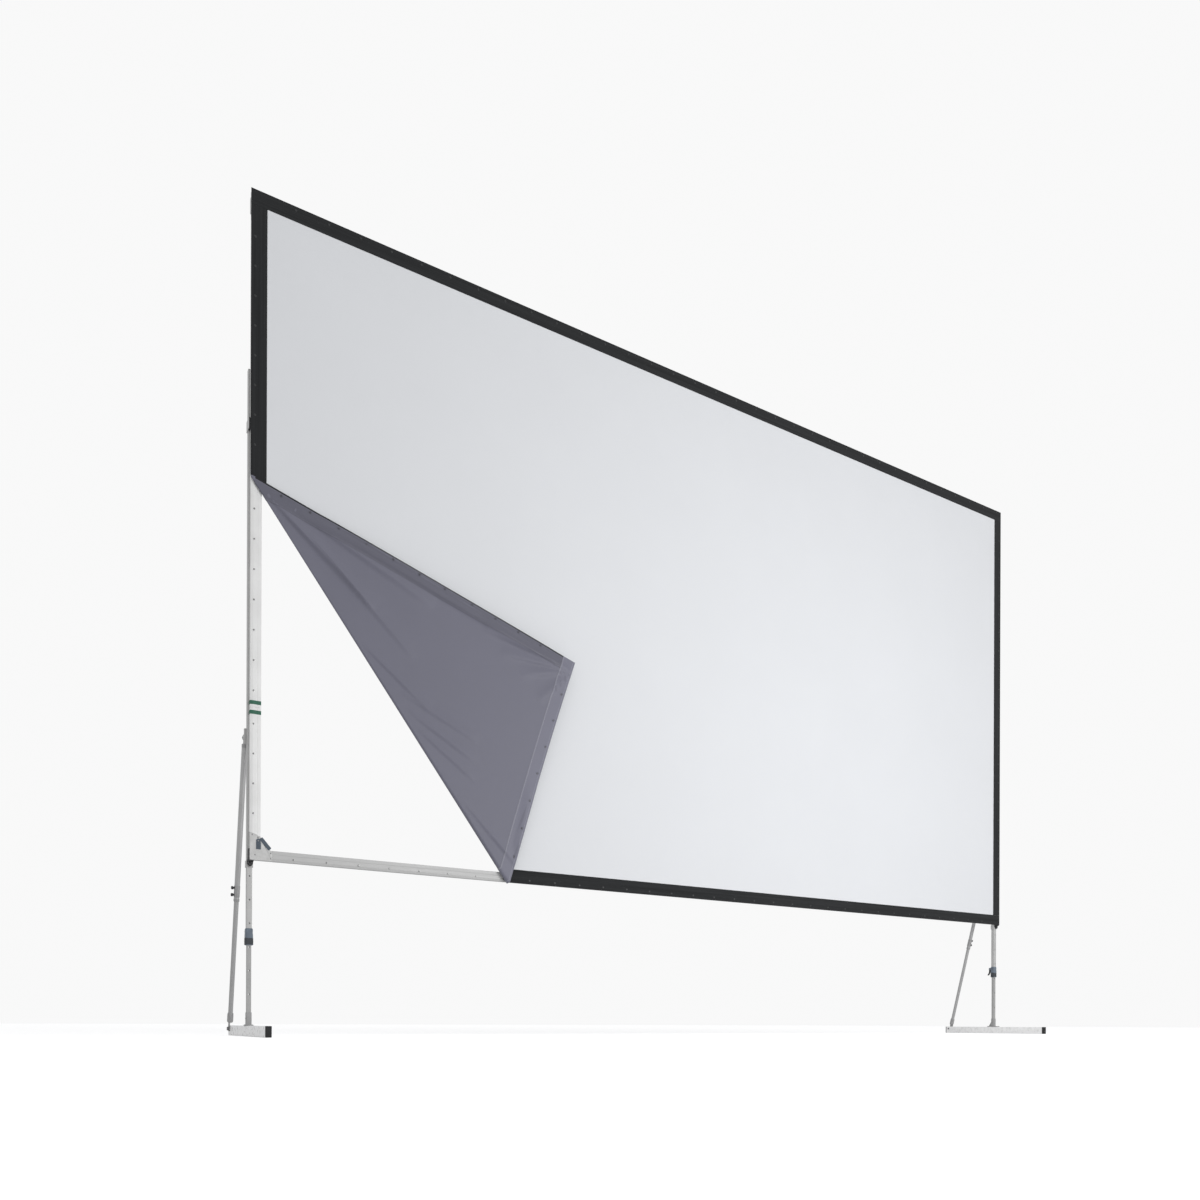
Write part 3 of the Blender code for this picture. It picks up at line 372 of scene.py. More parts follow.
# Rubbed edges: where the rounded normal turns away from the face's own, broken up by noise.
RUBBED, given, result, wires = effect("rubbed_edges", {"Radius": 0.0015, "Break": 0.03}, "Mask")
noise = wires.node("TexNoise", Vector=given["Vector"], Detail=4.0, Roughness=0.7)
wires.give(noise.inputs["Scale"], wires.maths("DIVIDE", 1.0, given["Break"]))
round_normal = wires.node("Bevel", Radius=given["Radius"])
meet = wires.tree.nodes.new("ShaderNodeVectorMath")
meet.operation = "DOT_PRODUCT"
wires.give(meet.inputs[0], round_normal.outputs["Normal"])
wires.give(meet.inputs[1], wires.node("NewGeometry").outputs["Normal"])
sharp = wires.spread(meet.outputs["Value"], 1.0, 0.0, 0.90, 0.985)
wires.give(result, wires.maths("MULTIPLY", sharp, wires.spread(noise.outputs["Fac"], 0.0, 1.0, 0.40, 0.62)))


# Drawn metal has long fine lines and faint clouds. A moulded or cast surface has an even grain and mottling.
LINE_STRETCH = 50.0
LINE_DEPTH = 0.0004
LINE_ROUGHNESS = 0.08
CLOUD_ROUGHNESS = 0.05
RUBBED_LIGHTER = 0.2
MOTTLE_SIZE = 0.03
MOTTLE = 0.12
MOTTLE_ROUGHNESS = 0.06
GRAIN_DEPTH = 0.0003


def bare_finish(name, slot):
    """A new material for a slot: the material, its shader and its wiring."""
    made = bpy.data.materials.new(name)
    made["slot"] = slot
    made.use_nodes = True
    return made, made.node_tree.nodes["Principled BSDF"], Wiring(made.node_tree)


def surfaced(shader, wires, colour, roughness, height, strength, depth):
    """Gives a shader its colour, its roughness and a relief from a height."""
    relief = wires.node("Bump", Height=height, Strength=strength, Distance=depth)
    wires.give(shader.inputs["Base Color"], colour)
    wires.give(shader.inputs["Roughness"], roughness)
    wires.give(shader.inputs["Normal"], relief.outputs["Normal"])


def metal(name, slot, colour, run="Z", turn=0.0, roughness=0.40, metallic=0.25, smudge=0.06, bump=0.12):
    """A drawn metal whose lines run along one axis of Object coordinates, turned about X if it leans."""
    made, shader, wires = bare_finish(name, slot)
    shader.inputs["Metallic"].default_value = metallic
    where = wires.node("TexCoord").outputs["Object"]
    stretch = [LINE_STRETCH if axis == run else 1.0 for axis in "XYZ"]
    along = wires.node("Mapping", Vector=where, Rotation=(turn, 0, 0), Scale=stretch)
    along.vector_type = "TEXTURE"
    lines = wires.place(LINES, "Lines", Vector=along.outputs["Vector"])
    cloud = wires.place(CLOUDS, "Cloud", Vector=where)
    worn = wires.place(RUBBED, "Mask", Vector=where)
    body = wires.tint(wires.spread(cloud, 0.0, 1.0), mixed(colour, -smudge), mixed(colour, smudge))
    shown = wires.tint(worn, body, mixed(colour, RUBBED_LIGHTER))
    rough = wires.spread(cloud, roughness - CLOUD_ROUGHNESS, roughness + CLOUD_ROUGHNESS)
    rough = wires.maths("ADD", rough, wires.spread(lines, -LINE_ROUGHNESS, LINE_ROUGHNESS))
    surfaced(shader, wires, shown, rough, lines, bump, LINE_DEPTH)
    return made


def moulded(name, slot, colour, roughness=0.5, grain=0.0012, relief=0.25, metallic=0.0, worn=None):
    """A cast or moulded surface: fine even grain, slight mottling, and lighter rubbed edges."""
    made, shader, wires = bare_finish(name, slot)
    shader.inputs["Metallic"].default_value = metallic
    where = wires.node("TexCoord").outputs["Object"]
    cloud = wires.place(CLOUDS, "Cloud", Vector=where, Size=MOTTLE_SIZE)
    edges = wires.place(RUBBED, "Mask", Vector=where, Break=0.008, Radius=0.001)
    body = wires.tint(wires.spread(cloud, 0.0, 1.0), mixed(colour, -MOTTLE), mixed(colour, MOTTLE))
    worn = worn or tuple(min(1.0, c * 1.8 + 0.02) for c in colour)
    grit = wires.place(LINES, "Lines", Vector=where, Pitch=grain)
    rough = wires.spread(cloud, roughness - MOTTLE_ROUGHNESS, roughness + MOTTLE_ROUGHNESS)
    surfaced(shader, wires, wires.tint(edges, body, worn), rough, grit, relief, GRAIN_DEPTH)
    return made


FRAME_UPRIGHT = metal("frame_aluminium_upright", "satin_aluminium", ALUMINIUM, "Z")
# The rails are the same aluminium as the sides, painted 37% darker as painted shade.
FRAME_LEVEL_SHADED = metal(
    "frame_aluminium_level", "satin_aluminium", mixed(ALUMINIUM, -0.37), "X",
    roughness=0.52, metallic=0.1, smudge=0.03, bump=0.04,
)

frame_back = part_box("bottom_rail_centre")[1].y
frame_front = frame_back - PROFILE_D
frame_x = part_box("right_side_middle")[1].x
frame_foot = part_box("bottom_rail_centre")[0].z
frame_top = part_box("top_rail_centre")[1].z
lip_outline = [
    (0, PROFILE_D), (0, LIP_D), (LIP_W, 0), (GROOVE_AT, 0), (GROOVE_AT + GROOVE_D, GROOVE_D),
    (GROOVE_AT + GROOVE_W, GROOVE_D), (GROOVE_AT + GROOVE_W + GROOVE_D, 0), (PROFILE_W, 0),
    (PROFILE_W, PROFILE_D),
]
PROFILE = rounded(lip_outline, EDGE_R)
BORE = inset(PROFILE, PROFILE_WALL)

# Each side of the frame: its outer edge starts here, runs this way and measures inward that way, in X and Z.
SIDES = {
    "left": ((-frame_x, frame_foot), (0, 1), (1, 0)),
    "right": ((frame_x, frame_foot), (0, 1), (-1, 0)),
    "bottom": ((-frame_x, frame_foot), (1, 0), (0, 1)),
    "top": ((-frame_x, frame_top), (1, 0), (0, -1)),
}


def on_side(side, along, across, y):
    """Points of one side: start + run * along + inward * across, at the depth y."""
    start, run, inward = (np.array(v, float) for v in SIDES[side])
    along, across, y = np.broadcast_arrays(along, across, y)
    flat = start + run * along[..., None] + inward * across[..., None]
    return np.stack([flat[..., 0], y, flat[..., 1]], -1)


def length_ends(side, nodes, slant):
    """Where a side's lengths start and end along its run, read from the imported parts' boxes."""
    axis = 2 if side in ("left", "right") else 0
    start = SIDES[side][0][axis // 2]
    lows = [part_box(node)[0][axis] - start for node in nodes]
    lows[0] += slant
    return lows + [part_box(nodes[-1])[1][axis] - start - slant]


def extruded(side, outer, bore, low, high, low_slope=0.0, high_slope=0.0):
    """A hollow extrusion along a side with eased ends.

    A ring's point lies at its end's place plus the slope times its distance from the profile's middle. The
    rings go out along the outer skin, in over the wall and back along the bore, and close on themselves.
    """
    eased = inset(outer, END_EASE)
    rings = []
    for loop, at, slope, shift in (
        (eased, low, low_slope, 0), (outer, low, low_slope, END_EASE), (outer, high, high_slope, -END_EASE),
        (eased, high, high_slope, 0), (bore, high, high_slope, 0), (bore, low, low_slope, 0),
    ):
        along = at + shift + slope * (loop[:, 0] - PROFILE_W / 2)
        rings.append(on_side(side, along, loop[:, 0], frame_front + loop[:, 1]))
    return skin(rings, closed=True)


def plug(side, root, tip):
    """The plug in a length's end: a rounded bar, a fit smaller than the next length's bore."""
    gap = PROFILE_WALL + FIT
    low, high, front, back = gap, PROFILE_W - gap, LIP_D + gap, PROFILE_D - gap
    loop = rounded([(low, front), (high, front), (high, back), (low, back)], EDGE_R)
    ends = ((root, loop), (tip - EDGE_R, loop), (tip, inset(loop, EDGE_R)))
    return skin([on_side(side, at, shape[:, 0], frame_front + shape[:, 1]) for at, shape in ends])


side_slope = -2 * JOINT_SLANT / PROFILE_W
LENGTHS = {}
for side, level_names, finish in (
    ("left", ("side_lower", "side_middle", "side_upper"), FRAME_UPRIGHT),
    ("right", ("side_lower", "side_middle", "side_upper"), FRAME_UPRIGHT),
    ("bottom", ("rail_left", "rail_centre", "rail_right"), FRAME_LEVEL_SHADED),
    ("top", ("rail_left", "rail_centre", "rail_right"), FRAME_LEVEL_SHADED),
):
    names = [f"{side}_{level_name}" for level_name in level_names]
    slope = side_slope if side in ("left", "right") else 0.0
    ends = length_ends(side, names, JOINT_SLANT if slope else 0)
    for number, node in enumerate(names):
        low, high = ends[number], ends[number + 1] - (FIT if number < 2 else 0)
        first, last = number == 0, number == 2
        shapes = [extruded(side, PROFILE, BORE, low, high, slope if first else 0, -slope if last else 0)]
        if not last:
            shapes.append(plug(side, high - PLUG_L, high + PLUG_L))
        add(f"{node}_length", shapes, finish, "frame", [node])
        LENGTHS[node] = (side, low, high, first, last)

# Joint bands: two turns of green tape, one on each side of the lower joint of each frame side.
# They show which lengths belong together when the frame is put up.
BAND_H = 0.022
BAND_APART = 0.055
BAND_T = 0.0004
BAND_GREEN = (0.020, 0.115, 0.070)
BAND = moulded("green_tape", "satin_aluminium", BAND_GREEN, 0.45, 0.002, 0.12)
band_outer, band_inner = inset(PROFILE, -BAND_T), inset(PROFILE, -BAND_T / 4)
for side in ("left", "right"):
    joint = LENGTHS[f"{side}_side_lower"][2]
    bands = []
    for middle in (joint - BAND_APART / 2, joint + BAND_APART / 2):
        bands.append(extruded(side, band_outer, band_inner, middle - BAND_H / 2, middle + BAND_H / 2))
    add(f"{side}_joint_bands", bands, BAND)

# Snap studs: turned nickelled posts pressed into the frame's face, a waist under a round head.
# They stand in a row near the outer edge, evenly between a margin at each joint and each corner.
STUD_EDGE = 0.019
STUD_JOINT_MARGIN = 0.0935
STUD_CORNER_MARGIN = 0.117
STUD_PITCH = {"left": 0.169, "right": 0.169, "bottom": 0.189, "top": 0.189}
STUD_PROFILE = (
    (0.0, -0.001), (0.0055, -0.001), (0.0055, 0.0006), (0.0036, 0.0012), (0.0034, 0.0022), (0.0046, 0.0030),
    (0.0044, 0.0036), (0.0030, 0.0040), (0.0, 0.0040),
)
NICKEL = (0.30, 0.30, 0.30)
STUD_SIDES = 12


def turned(profile, centre, axis, sides=16, lobes=0, swell=0.0, closed=False):
    """A profile of radius and height pairs turned about an axis through the centre.

    Point = centre + axis * height + radius * (u cos a + v sin a). With lobes the radius is also multiplied by
    1 + swell * cos(lobes * a). An end of no radius closes to a point, and a closed profile makes a ring.
    """
    axis = np.asarray(axis, float) / np.linalg.norm(axis)
    helper = np.array([0, 0, 1.0]) if abs(axis[2]) < 0.9 else np.array([1.0, 0, 0])
    u = np.cross(axis, helper)
    u /= np.linalg.norm(u)
    v = np.cross(axis, u)
    angle = np.linspace(0, 2 * math.pi, sides, endpoint=False)
    wave = 1 + swell * np.cos(lobes * angle)
    circle = (np.outer(np.cos(angle), u) + np.outer(np.sin(angle), v)) * wave[:, None]
    centre = np.asarray(centre, float)
    points, faces = skin([centre + axis * h + circle * r for r, h in profile if r > 0], closed)
    if closed:
        return points, faces
    caps = faces[-2:]
    faces = faces[:-2]
    for cap, (radius, height) in zip(caps, (profile[0], profile[-1])):
        if radius > 0:
            faces.append(cap)
            continue
        faces += [[a, b, len(points)] for a, b in zip(cap, cap[1:] + cap[:1])]
        points = np.concatenate([points, (centre + axis * height)[None]])
    return points, faces


def stud_places(low, high, low_margin, high_margin, pitch):
    """Even places between two margins, as near to the pitch as they can be."""
    first, last = low + low_margin, high - high_margin
    return np.linspace(first, last, max(1, round((last - first) / pitch)) + 1)


STUDS = metal("nickel_studs", "leg_aluminium", NICKEL, "Y", roughness=0.28, metallic=0.9, smudge=0.15)
rows = {side: [] for side in SIDES}
for node, (side, low, high, low_corner, high_corner) in LENGTHS.items():
    margins = [STUD_CORNER_MARGIN if corner else STUD_JOINT_MARGIN for corner in (low_corner, high_corner)]
    places = stud_places(low, high, *margins, STUD_PITCH[side])
    rows[side].append(places)
    centres = on_side(side, places, STUD_EDGE, frame_front)
    add(f"{node}_studs", [turned(STUD_PROFILE, centre, (0, -1, 0), STUD_SIDES) for centre in centres], STUDS)
STUD_ROWS = {side: np.concatenate(places) for side, places in rows.items()}

# Corner castings: an L in cast aluminium with a gusset in its inner corner, plugs for both lengths,
# two screws at each joint, a raised pad on the outer corner and, at the top, a lug on the outer edge.
CORNER_RISE = 0.145
CORNER_RUN = 0.125
GUSSET_RISE = 0.065
GUSSET_RUN = 0.055
CAST_EDGE = 0.0015
PAD_OUT = 0.0008
PAD_IN = 0.010
LUG_OUT = 0.005
LUG_L = 0.090
LUG_D = 0.018
LUG_DROP = 0.040
SCREW_R = 0.0042
SCREW_H = 0.0016
SCREW_END = 0.009
SCREW_SIDES = 14
ALONG_X, ALONG_Y, ALONG_Z = (1, 2, 0), (0, 2, 1), (0, 1, 2)


def ring(loop, at, order):
    """A flat outline as points: its two columns and its level go to the axes that order names."""
    made = np.empty((len(loop), 3))
    made[:, order[0]], made[:, order[1]], made[:, order[2]] = loop[:, 0], loop[:, 1], at
    return made


def slab(outline, low, high, order, edge, corner, to, arc=3):
    """A solid between two levels with a rounded outline and rounded rims.

    Near each end the outline is drawn in along a quarter circle: in by edge * (1 - sin a) at the level
    edge * (1 - cos a) from the end. The function to places the points.
    """
    loop = rounded(outline, corner, arc)
    turns = np.linspace(0, math.pi / 2, arc)
    ends = [(inset(loop, edge * (1 - math.sin(a))), edge * (1 - math.cos(a))) for a in turns]
    rings = [ring(shape, low + step, order) for shape, step in ends]
    rings += [ring(shape, high - step, order) for shape, step in ends[::-1]]
    return skin([to(points) for points in rings])


def oblong(u0, u1, v0, v1):
    """A rectangle's outline."""
    return [(u0, v0), (u1, v0), (u1, v1), (u0, v1)]


def screw(centre, axis, radius=SCREW_R, height=SCREW_H):
    """A button head with a round socket, its dome a few rings."""
    profile = (
        (0, -height), (radius, -height), (radius, height * 0.35), (radius * 0.88, height * 0.8),
        (radius * 0.62, height), (radius * 0.50, height), (radius * 0.45, height * 0.2), (0, height * 0.2),
    )
    return turned(profile, centre, axis, SCREW_SIDES)


CAST = moulded(
    "cast_aluminium", "satin_aluminium", (0.54, 0.54, 0.535), 0.45, 0.0016, 0.3, 0.3, (0.72, 0.72, 0.71)
)
STEEL = metal(
    "steel_screws", "leg_aluminium", (0.26, 0.26, 0.265), "Y", roughness=0.3, metallic=0.9, smudge=0.15
)
CORNERS = {"bottom_left": (-1, 1), "bottom_right": (1, 1), "top_left": (-1, -1), "top_right": (1, -1)}


def corner_placer(x_sign, z_sign):
    """Turns run, depth and rise, measured inward from a corner of the frame, into X, Y and Z."""
    start_z = frame_foot if z_sign > 0 else frame_top

    def place(points):
        """The points, mirrored into their corner."""
        return np.stack([x_sign * (frame_x - points[:, 0]), points[:, 1], start_z + z_sign * points[:, 2]], 1)

    return place


gap = PROFILE_WALL + FIT
plug_box = oblong(gap, PROFILE_W - gap, frame_front + LIP_D + gap, frame_back - gap)
level_box = [(y, z) for z, y in plug_box]
frame_middle = (frame_front + frame_back) / 2
lug_box = [(frame_middle - LUG_D / 2, LUG_DROP), (frame_middle + LUG_D / 2, LUG_DROP)]
lug_box += [(frame_middle + LUG_D / 2, LUG_DROP + LUG_L), (frame_middle - LUG_D / 2, LUG_DROP + LUG_L)]
rise_end, run_end = CORNER_RISE - FIT / 2, CORNER_RUN - FIT / 2
corner_outline = [
    (0, 0), (run_end, 0), (run_end, PROFILE_W), (PROFILE_W + GUSSET_RUN, PROFILE_W),
    (PROFILE_W, PROFILE_W + GUSSET_RISE), (PROFILE_W, rise_end - JOINT_SLANT), (0, rise_end + JOINT_SLANT),
]
pad_box = oblong(PAD_IN, PROFILE_W - PAD_IN, PAD_IN, PROFILE_W - PAD_IN)
across = np.array([0.25, 0.75]) * PROFILE_W
slant = rise_end + JOINT_SLANT - across * JOINT_SLANT * 2 / PROFILE_W - SCREW_END
screw_spots = [(run, frame_front, rise) for run, rise in zip(across, slant)]
screw_spots += [(run_end - SCREW_END, frame_front, rise) for rise in across]
screw_spots += [(PROFILE_W / 2, frame_front - PAD_OUT, PROFILE_W / 2)]

for corner, (x_sign, z_sign) in CORNERS.items():
    place = corner_placer(x_sign, z_sign)
    plug_root = rise_end - JOINT_SLANT * 2
    shapes = [
        slab(corner_outline, frame_front, frame_back, ALONG_Y, CAST_EDGE, CAST_EDGE, place),
        slab(pad_box, frame_front - PAD_OUT, frame_front + PAD_OUT, ALONG_Y, PAD_OUT / 2, PAD_IN / 2, place),
        slab(plug_box, plug_root, rise_end + PLUG_L, ALONG_Z, EDGE_R, EDGE_R, place),
        slab(level_box, run_end - EDGE_R, run_end + PLUG_L, ALONG_X, EDGE_R, EDGE_R, place),
    ]
    if z_sign < 0:
        shapes.append(slab(lug_box, -LUG_OUT, CAST_EDGE * 2, ALONG_X, CAST_EDGE, LUG_D / 3, place))
    add(f"corner_{corner}_casting", shapes, CAST, "frame", [f"corner_{corner}"])
    heads = [screw(centre, (0, -1, 0)) for centre in place(np.array(screw_spots))]
    add(f"corner_{corner}_screws", heads, STEEL)

# Corner latches: a blue-grey nylon lever on a pin in the casting's face, with a stepped hub and a
# black ribbed grip along the gusset's edge that the hand pulls to free the folding corner.
LATCH_BACK = 0.0003
LATCH_FRONT = 0.0033
LATCH_PLATE = 0.0026
LATCH_HUB_R = 0.012
LATCH_BLOCK_W = 0.026
LATCH_BLOCK_DROP = 0.048
LATCH_BAR_L = 0.078
LATCH_BAR_W = 0.010
LATCH_BAR_D = 0.018
LATCH_BAR_START = 0.022
LATCH_GAP = 0.0005
LATCH_EDGE = 0.0006
LATCH_CORNER = 0.003
BLOCK_CORNER = 0.004
GRIP_EDGE = 0.0016
GRIP_CORNER = 0.0022
GRIP_RIBS = 6
GRIP_RIB_L = 0.003
GRIP_RIB_OUT = 0.0008
GRIP_RIB_EDGE = 0.0005
PIN_R = 0.004
PIN_H = 0.0032
PIN_ROOT = -0.001
PIN_SIDES = 20
FINE_SIDES = 28
BLUE_GREY = moulded("blue_grey_nylon", "latch_nylon", (0.062, 0.084, 0.112), 0.42, 0.0014, 0.2)
GRIP = moulded("black_grip", "black_plastic", (0.022, 0.023, 0.025), 0.5, 0.0011, 0.35)
HUB_PROFILE = (
    (LATCH_HUB_R, LATCH_BACK), (LATCH_HUB_R, LATCH_PLATE), (LATCH_HUB_R * 0.93, LATCH_FRONT),
    (LATCH_HUB_R * 0.62, LATCH_FRONT), (LATCH_HUB_R * 0.55, LATCH_PLATE), (PIN_R * 1.15, LATCH_PLATE),
    (PIN_R * 1.15, LATCH_BACK),
)
PIN_PROFILE = (
    (0, PIN_ROOT), (PIN_R, PIN_ROOT), (PIN_R, PIN_H * 0.8), (PIN_R * 0.7, PIN_H),
    (PIN_R * 0.35, PIN_H * 0.85), (0, PIN_H * 0.8),
)
joints = {joint["name"]: joint for joint in frame["joints"]}
slope = math.atan2(GUSSET_RISE, GUSSET_RUN)
bar_along = np.array([math.cos(slope), -math.sin(slope)])
bar_off = np.array([math.sin(slope), math.cos(slope)])


def latch_placer(pivot, x_sign, z_sign):
    """Turns run, depth and rise, measured inward from the latch's pin, into X, Y and Z."""

    def place(points):
        """The points, mirrored into their corner about the pin."""
        return pivot + points * (-x_sign, 1, z_sign)

    return place


for corner, (x_sign, z_sign) in CORNERS.items():
    pivot = np.array(joints[f"latch_{corner}_open"]["pos_m"])
    place = latch_placer(pivot, x_sign, z_sign)
    rise = abs(pivot[2] - (frame_foot if z_sign > 0 else frame_top))
    gusset_top = PROFILE_W + GUSSET_RISE - rise
    bar_top = np.array([abs(pivot[0]) - frame_x + PROFILE_W, gusset_top]) + bar_off * LATCH_GAP

    def bar(start, end, near, far):
        """An oblong along the gusset's edge, from its upper end, near and far measured off the edge."""
        corners = ((start, near), (end, near), (end, far), (start, far))
        return [bar_top + bar_along * run + bar_off * off for run, off in corners]

    def flat_part(outline, front, corner_r):
        """A flat part of the lever, from its back to the front that is given."""
        return slab(outline, -front, -LATCH_BACK, ALONG_Y, LATCH_EDGE, corner_r, place)

    block = oblong(-LATCH_HUB_R, LATCH_BLOCK_W - LATCH_HUB_R, -LATCH_BLOCK_DROP, -PIN_R * 1.6)
    raised_low, raised_high = -LATCH_BLOCK_DROP * 0.9, -LATCH_BLOCK_DROP * 0.45
    raised = oblong(-LATCH_HUB_R * 0.7, LATCH_HUB_R * 0.8, raised_low, raised_high)
    shapes = [
        turned(HUB_PROFILE, pivot, (0, -1, 0), FINE_SIDES, closed=True),
        flat_part(block, LATCH_PLATE, BLOCK_CORNER),
        flat_part(raised, LATCH_FRONT, LATCH_CORNER),
        flat_part(bar(-LATCH_GAP, LATCH_BAR_L, -LATCH_BAR_W, LATCH_BAR_W), LATCH_FRONT, LATCH_CORNER),
    ]
    add(f"latch_{corner}_lever", shapes, BLUE_GREY, f"latch_{corner}", [f"latch_{corner}"])
    grip_outline = bar(LATCH_BAR_START, LATCH_BAR_L, LATCH_GAP, LATCH_BAR_W)
    grip = [slab(grip_outline, -LATCH_FRONT * 0.9, LATCH_BAR_D, ALONG_Y, GRIP_EDGE, GRIP_CORNER, place)]
    rib_low, rib_high = -LATCH_FRONT * 0.6, LATCH_BAR_D * 0.9
    for start in np.linspace(LATCH_BAR_START, LATCH_BAR_L, GRIP_RIBS + 2)[1:-1]:
        rib = bar(start, start + GRIP_RIB_L, LATCH_BAR_W * 0.8, LATCH_BAR_W + GRIP_RIB_OUT)
        grip.append(slab(rib, rib_low, rib_high, ALONG_Y, GRIP_RIB_EDGE, GRIP_RIB_OUT, place))
    add(f"latch_{corner}_grip", grip, GRIP, f"latch_{corner}")
    add(f"latch_{corner}_pin", [turned(PIN_PROFILE, pivot, (0, -1, 0), PIN_SIDES)], STEEL)

# Screen cloth: one sheet of rear projection film, pale in front and blue-grey behind, snapped on the studs.
# Its lower left corner is off the studs, rolled over and folded forward; creases run from the fold's
# upper end, at the tip and across the fold's edge. Places are given on the flat sheet as it was cut.
CLOTH_STAND = 0.0048
CLOTH_T = 0.001
FOLD_RISE = 2.163
FOLD_RUN = 1.606
ROLL_TOP_R = 0.004
ROLL_FOOT_R = 0.016
FLAP_LIFT = 0.050
FLAP_CLOSING = 0.96
ROLL_SHARE = 0.03
FILM = (0.70, 0.712, 0.735)
BACK = (0.158, 0.158, 0.200)
# Each crease: where it starts and ends, in metres along the fold from its upper end and inward from it,
# its height (less than zero is a valley), and how far its gentle side reaches at the start and at the end.
CREASES = (
    ((0.14, 0.02), (0.90, 0.200), 0.020, 0.030, 0.075),
    ((0.40, 0.10), (1.25, 0.26), 0.010, 0.030, 0.070),
    ((0.26, 0.11), (1.05, 0.56), 0.015, 0.035, 0.095),
    ((0.36, 0.19), (1.70, 1.10), 0.017, 0.040, 0.085),
    ((0.34, 0.23), (1.74, 1.16), 0.008, 0.015, 0.035),
    ((1.30, 0.78), (1.80, 1.19), 0.013, 0.070, 0.014),
    ((1.48, 0.80), (1.80, 1.18), 0.010, 0.060, 0.012),
    ((1.66, 0.84), (1.80, 1.17), 0.009, 0.055, 0.012),
    ((1.86, 0.86), (1.81, 1.18), 0.009, 0.050, 0.012),
    ((1.40, 0.07), (1.86, 0.33), 0.007, 0.020, 0.045),
    ((1.50, 0.04), (1.95, 0.24), 0.007, 0.018, 0.042),
    ((1.60, 0.02), (2.05, 0.17), 0.006, 0.016, 0.040),
    ((1.05, 0.02), (1.55, 0.16), 0.007, 0.020, 0.045),
    ((2.12, 0.02), (2.62, 0.10), 0.007, 0.018, 0.035),
    ((2.25, 0.50), (2.64, 0.06), 0.009, 0.060, 0.020),
)
STEEP_SHARE = 0.32
SETTLE_SHARE = 0.06
SLOPE_STEP = 1e-5
WELD = 2e-5
SLIVER = 1e-6
CLOTH_SMOOTH = 50

sheet_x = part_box("border_top")[1].x
sheet_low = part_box("border_bottom")[0].z
sheet_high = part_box("border_top")[1].z
cloth_y = frame_front - CLOTH_STAND
fold_top = sheet_low + FOLD_RISE
fold_l = math.hypot(FOLD_RUN, FOLD_RISE)
whole = math.atan2(FOLD_RUN, FOLD_RISE)
fold_along = np.array([FOLD_RUN, 0, -FOLD_RISE]) / fold_l
fold_inward = np.array([FOLD_RISE, 0, FOLD_RUN]) / fold_l
fold_start = np.array([-sheet_x, cloth_y, fold_top])


def creased(a, b):
    """The height that the creases add at a metres along the fold and b inward from it.

    Each is a ridge with a bell-shaped section about its line, steep on the side that faces the fold, at its
    full height in the middle of its length and fading to nothing at both ends with the square root of a sine.
    """
    total = np.zeros_like(a)
    for (a0, b0), (a1, b1), height, start_w, end_w in CREASES:
        run = np.array([a1 - a0, b1 - b0])
        length = np.linalg.norm(run)
        run /= length
        along = ((a - a0) * run[0] + (b - b0) * run[1]) / length
        aside = -(a - a0) * run[1] + (b - b0) * run[0]
        width = (start_w + (end_w - start_w) * np.clip(along, 0, 1)) * np.where(aside < 0, STEEP_SHARE, 1)
        fade = np.sqrt(np.sin(math.pi * np.clip(along, 0, 1)))
        total += height * fade * np.exp(-((aside / width) ** 2))
    return total


def sheet_at(x, z):
    """Where the sheet's middle surface lies, for a point of the flat sheet given by x and z.

    Outside the turned corner it lies flat. The corner is measured from the fold's upper end: row is the depth
    below it, share the part of the corner's angle from the fold line. The first few hundredths of the share
    go round the roll, a half circle that widens towards the foot, and the rest fan out over the flap.
    """
    x, z = np.asarray(x, float), np.asarray(z, float)
    depth, out = fold_top - z, x + sheet_x
    share = 1 - np.arctan2(out, np.maximum(depth, SHORTEST)) / whole
    turned_back = (depth > 0) & (share > 0)
    row = np.clip(depth / FOLD_RISE, 0, 1)
    radius = ROLL_TOP_R + (ROLL_FOOT_R - ROLL_TOP_R) * row
    on_roll = share < ROLL_SHARE
    roll = math.pi * np.clip(share / ROLL_SHARE, 0, 1)
    flap = np.clip((share - ROLL_SHARE) / (1 - ROLL_SHARE), 0, 1)
    reach = row * FOLD_RISE / np.cos(whole * (1 - flap))
    along = np.where(on_roll, fold_l * row, reach * np.cos(whole * flap * FLAP_CLOSING))
    inward = np.where(on_roll, -radius * np.sin(roll), reach * np.sin(whole * flap * FLAP_CLOSING))
    settle = np.clip(flap / SETTLE_SHARE, 0, 1)
    settle = settle * settle * (3 - 2 * settle)
    lift = np.where(on_roll, radius * (1 - np.cos(roll)), 2 * radius + FLAP_LIFT * row * flap)
    lift = lift + np.where(on_roll, 0, settle * creased(along, inward))
    folded = fold_start + along[..., None] * fold_along + inward[..., None] * fold_inward
    folded[..., 1] -= lift
    flat = np.stack([x, np.full_like(x, cloth_y), z], -1)
    return np.where(turned_back[..., None], folded, flat)


def facing(x, z):
    """The sheet's front normal: the cross product of its two slopes, each measured over a tiny step."""
    across = sheet_at(x + SLOPE_STEP, z) - sheet_at(x - SLOPE_STEP, z)
    up = sheet_at(x, z + SLOPE_STEP) - sheet_at(x, z - SLOPE_STEP)
    normal = np.cross(across, up)
    return normal / np.maximum(np.linalg.norm(normal, axis=-1, keepdims=True), 1e-12)


def corner_point(share, row):
    """The flat sheet's x and z for a share of the corner's angle and a row."""
    depth = row * FOLD_RISE
    return depth * np.tan(whole * (1 - share)) - sheet_x, fold_top - depth + 0 * share


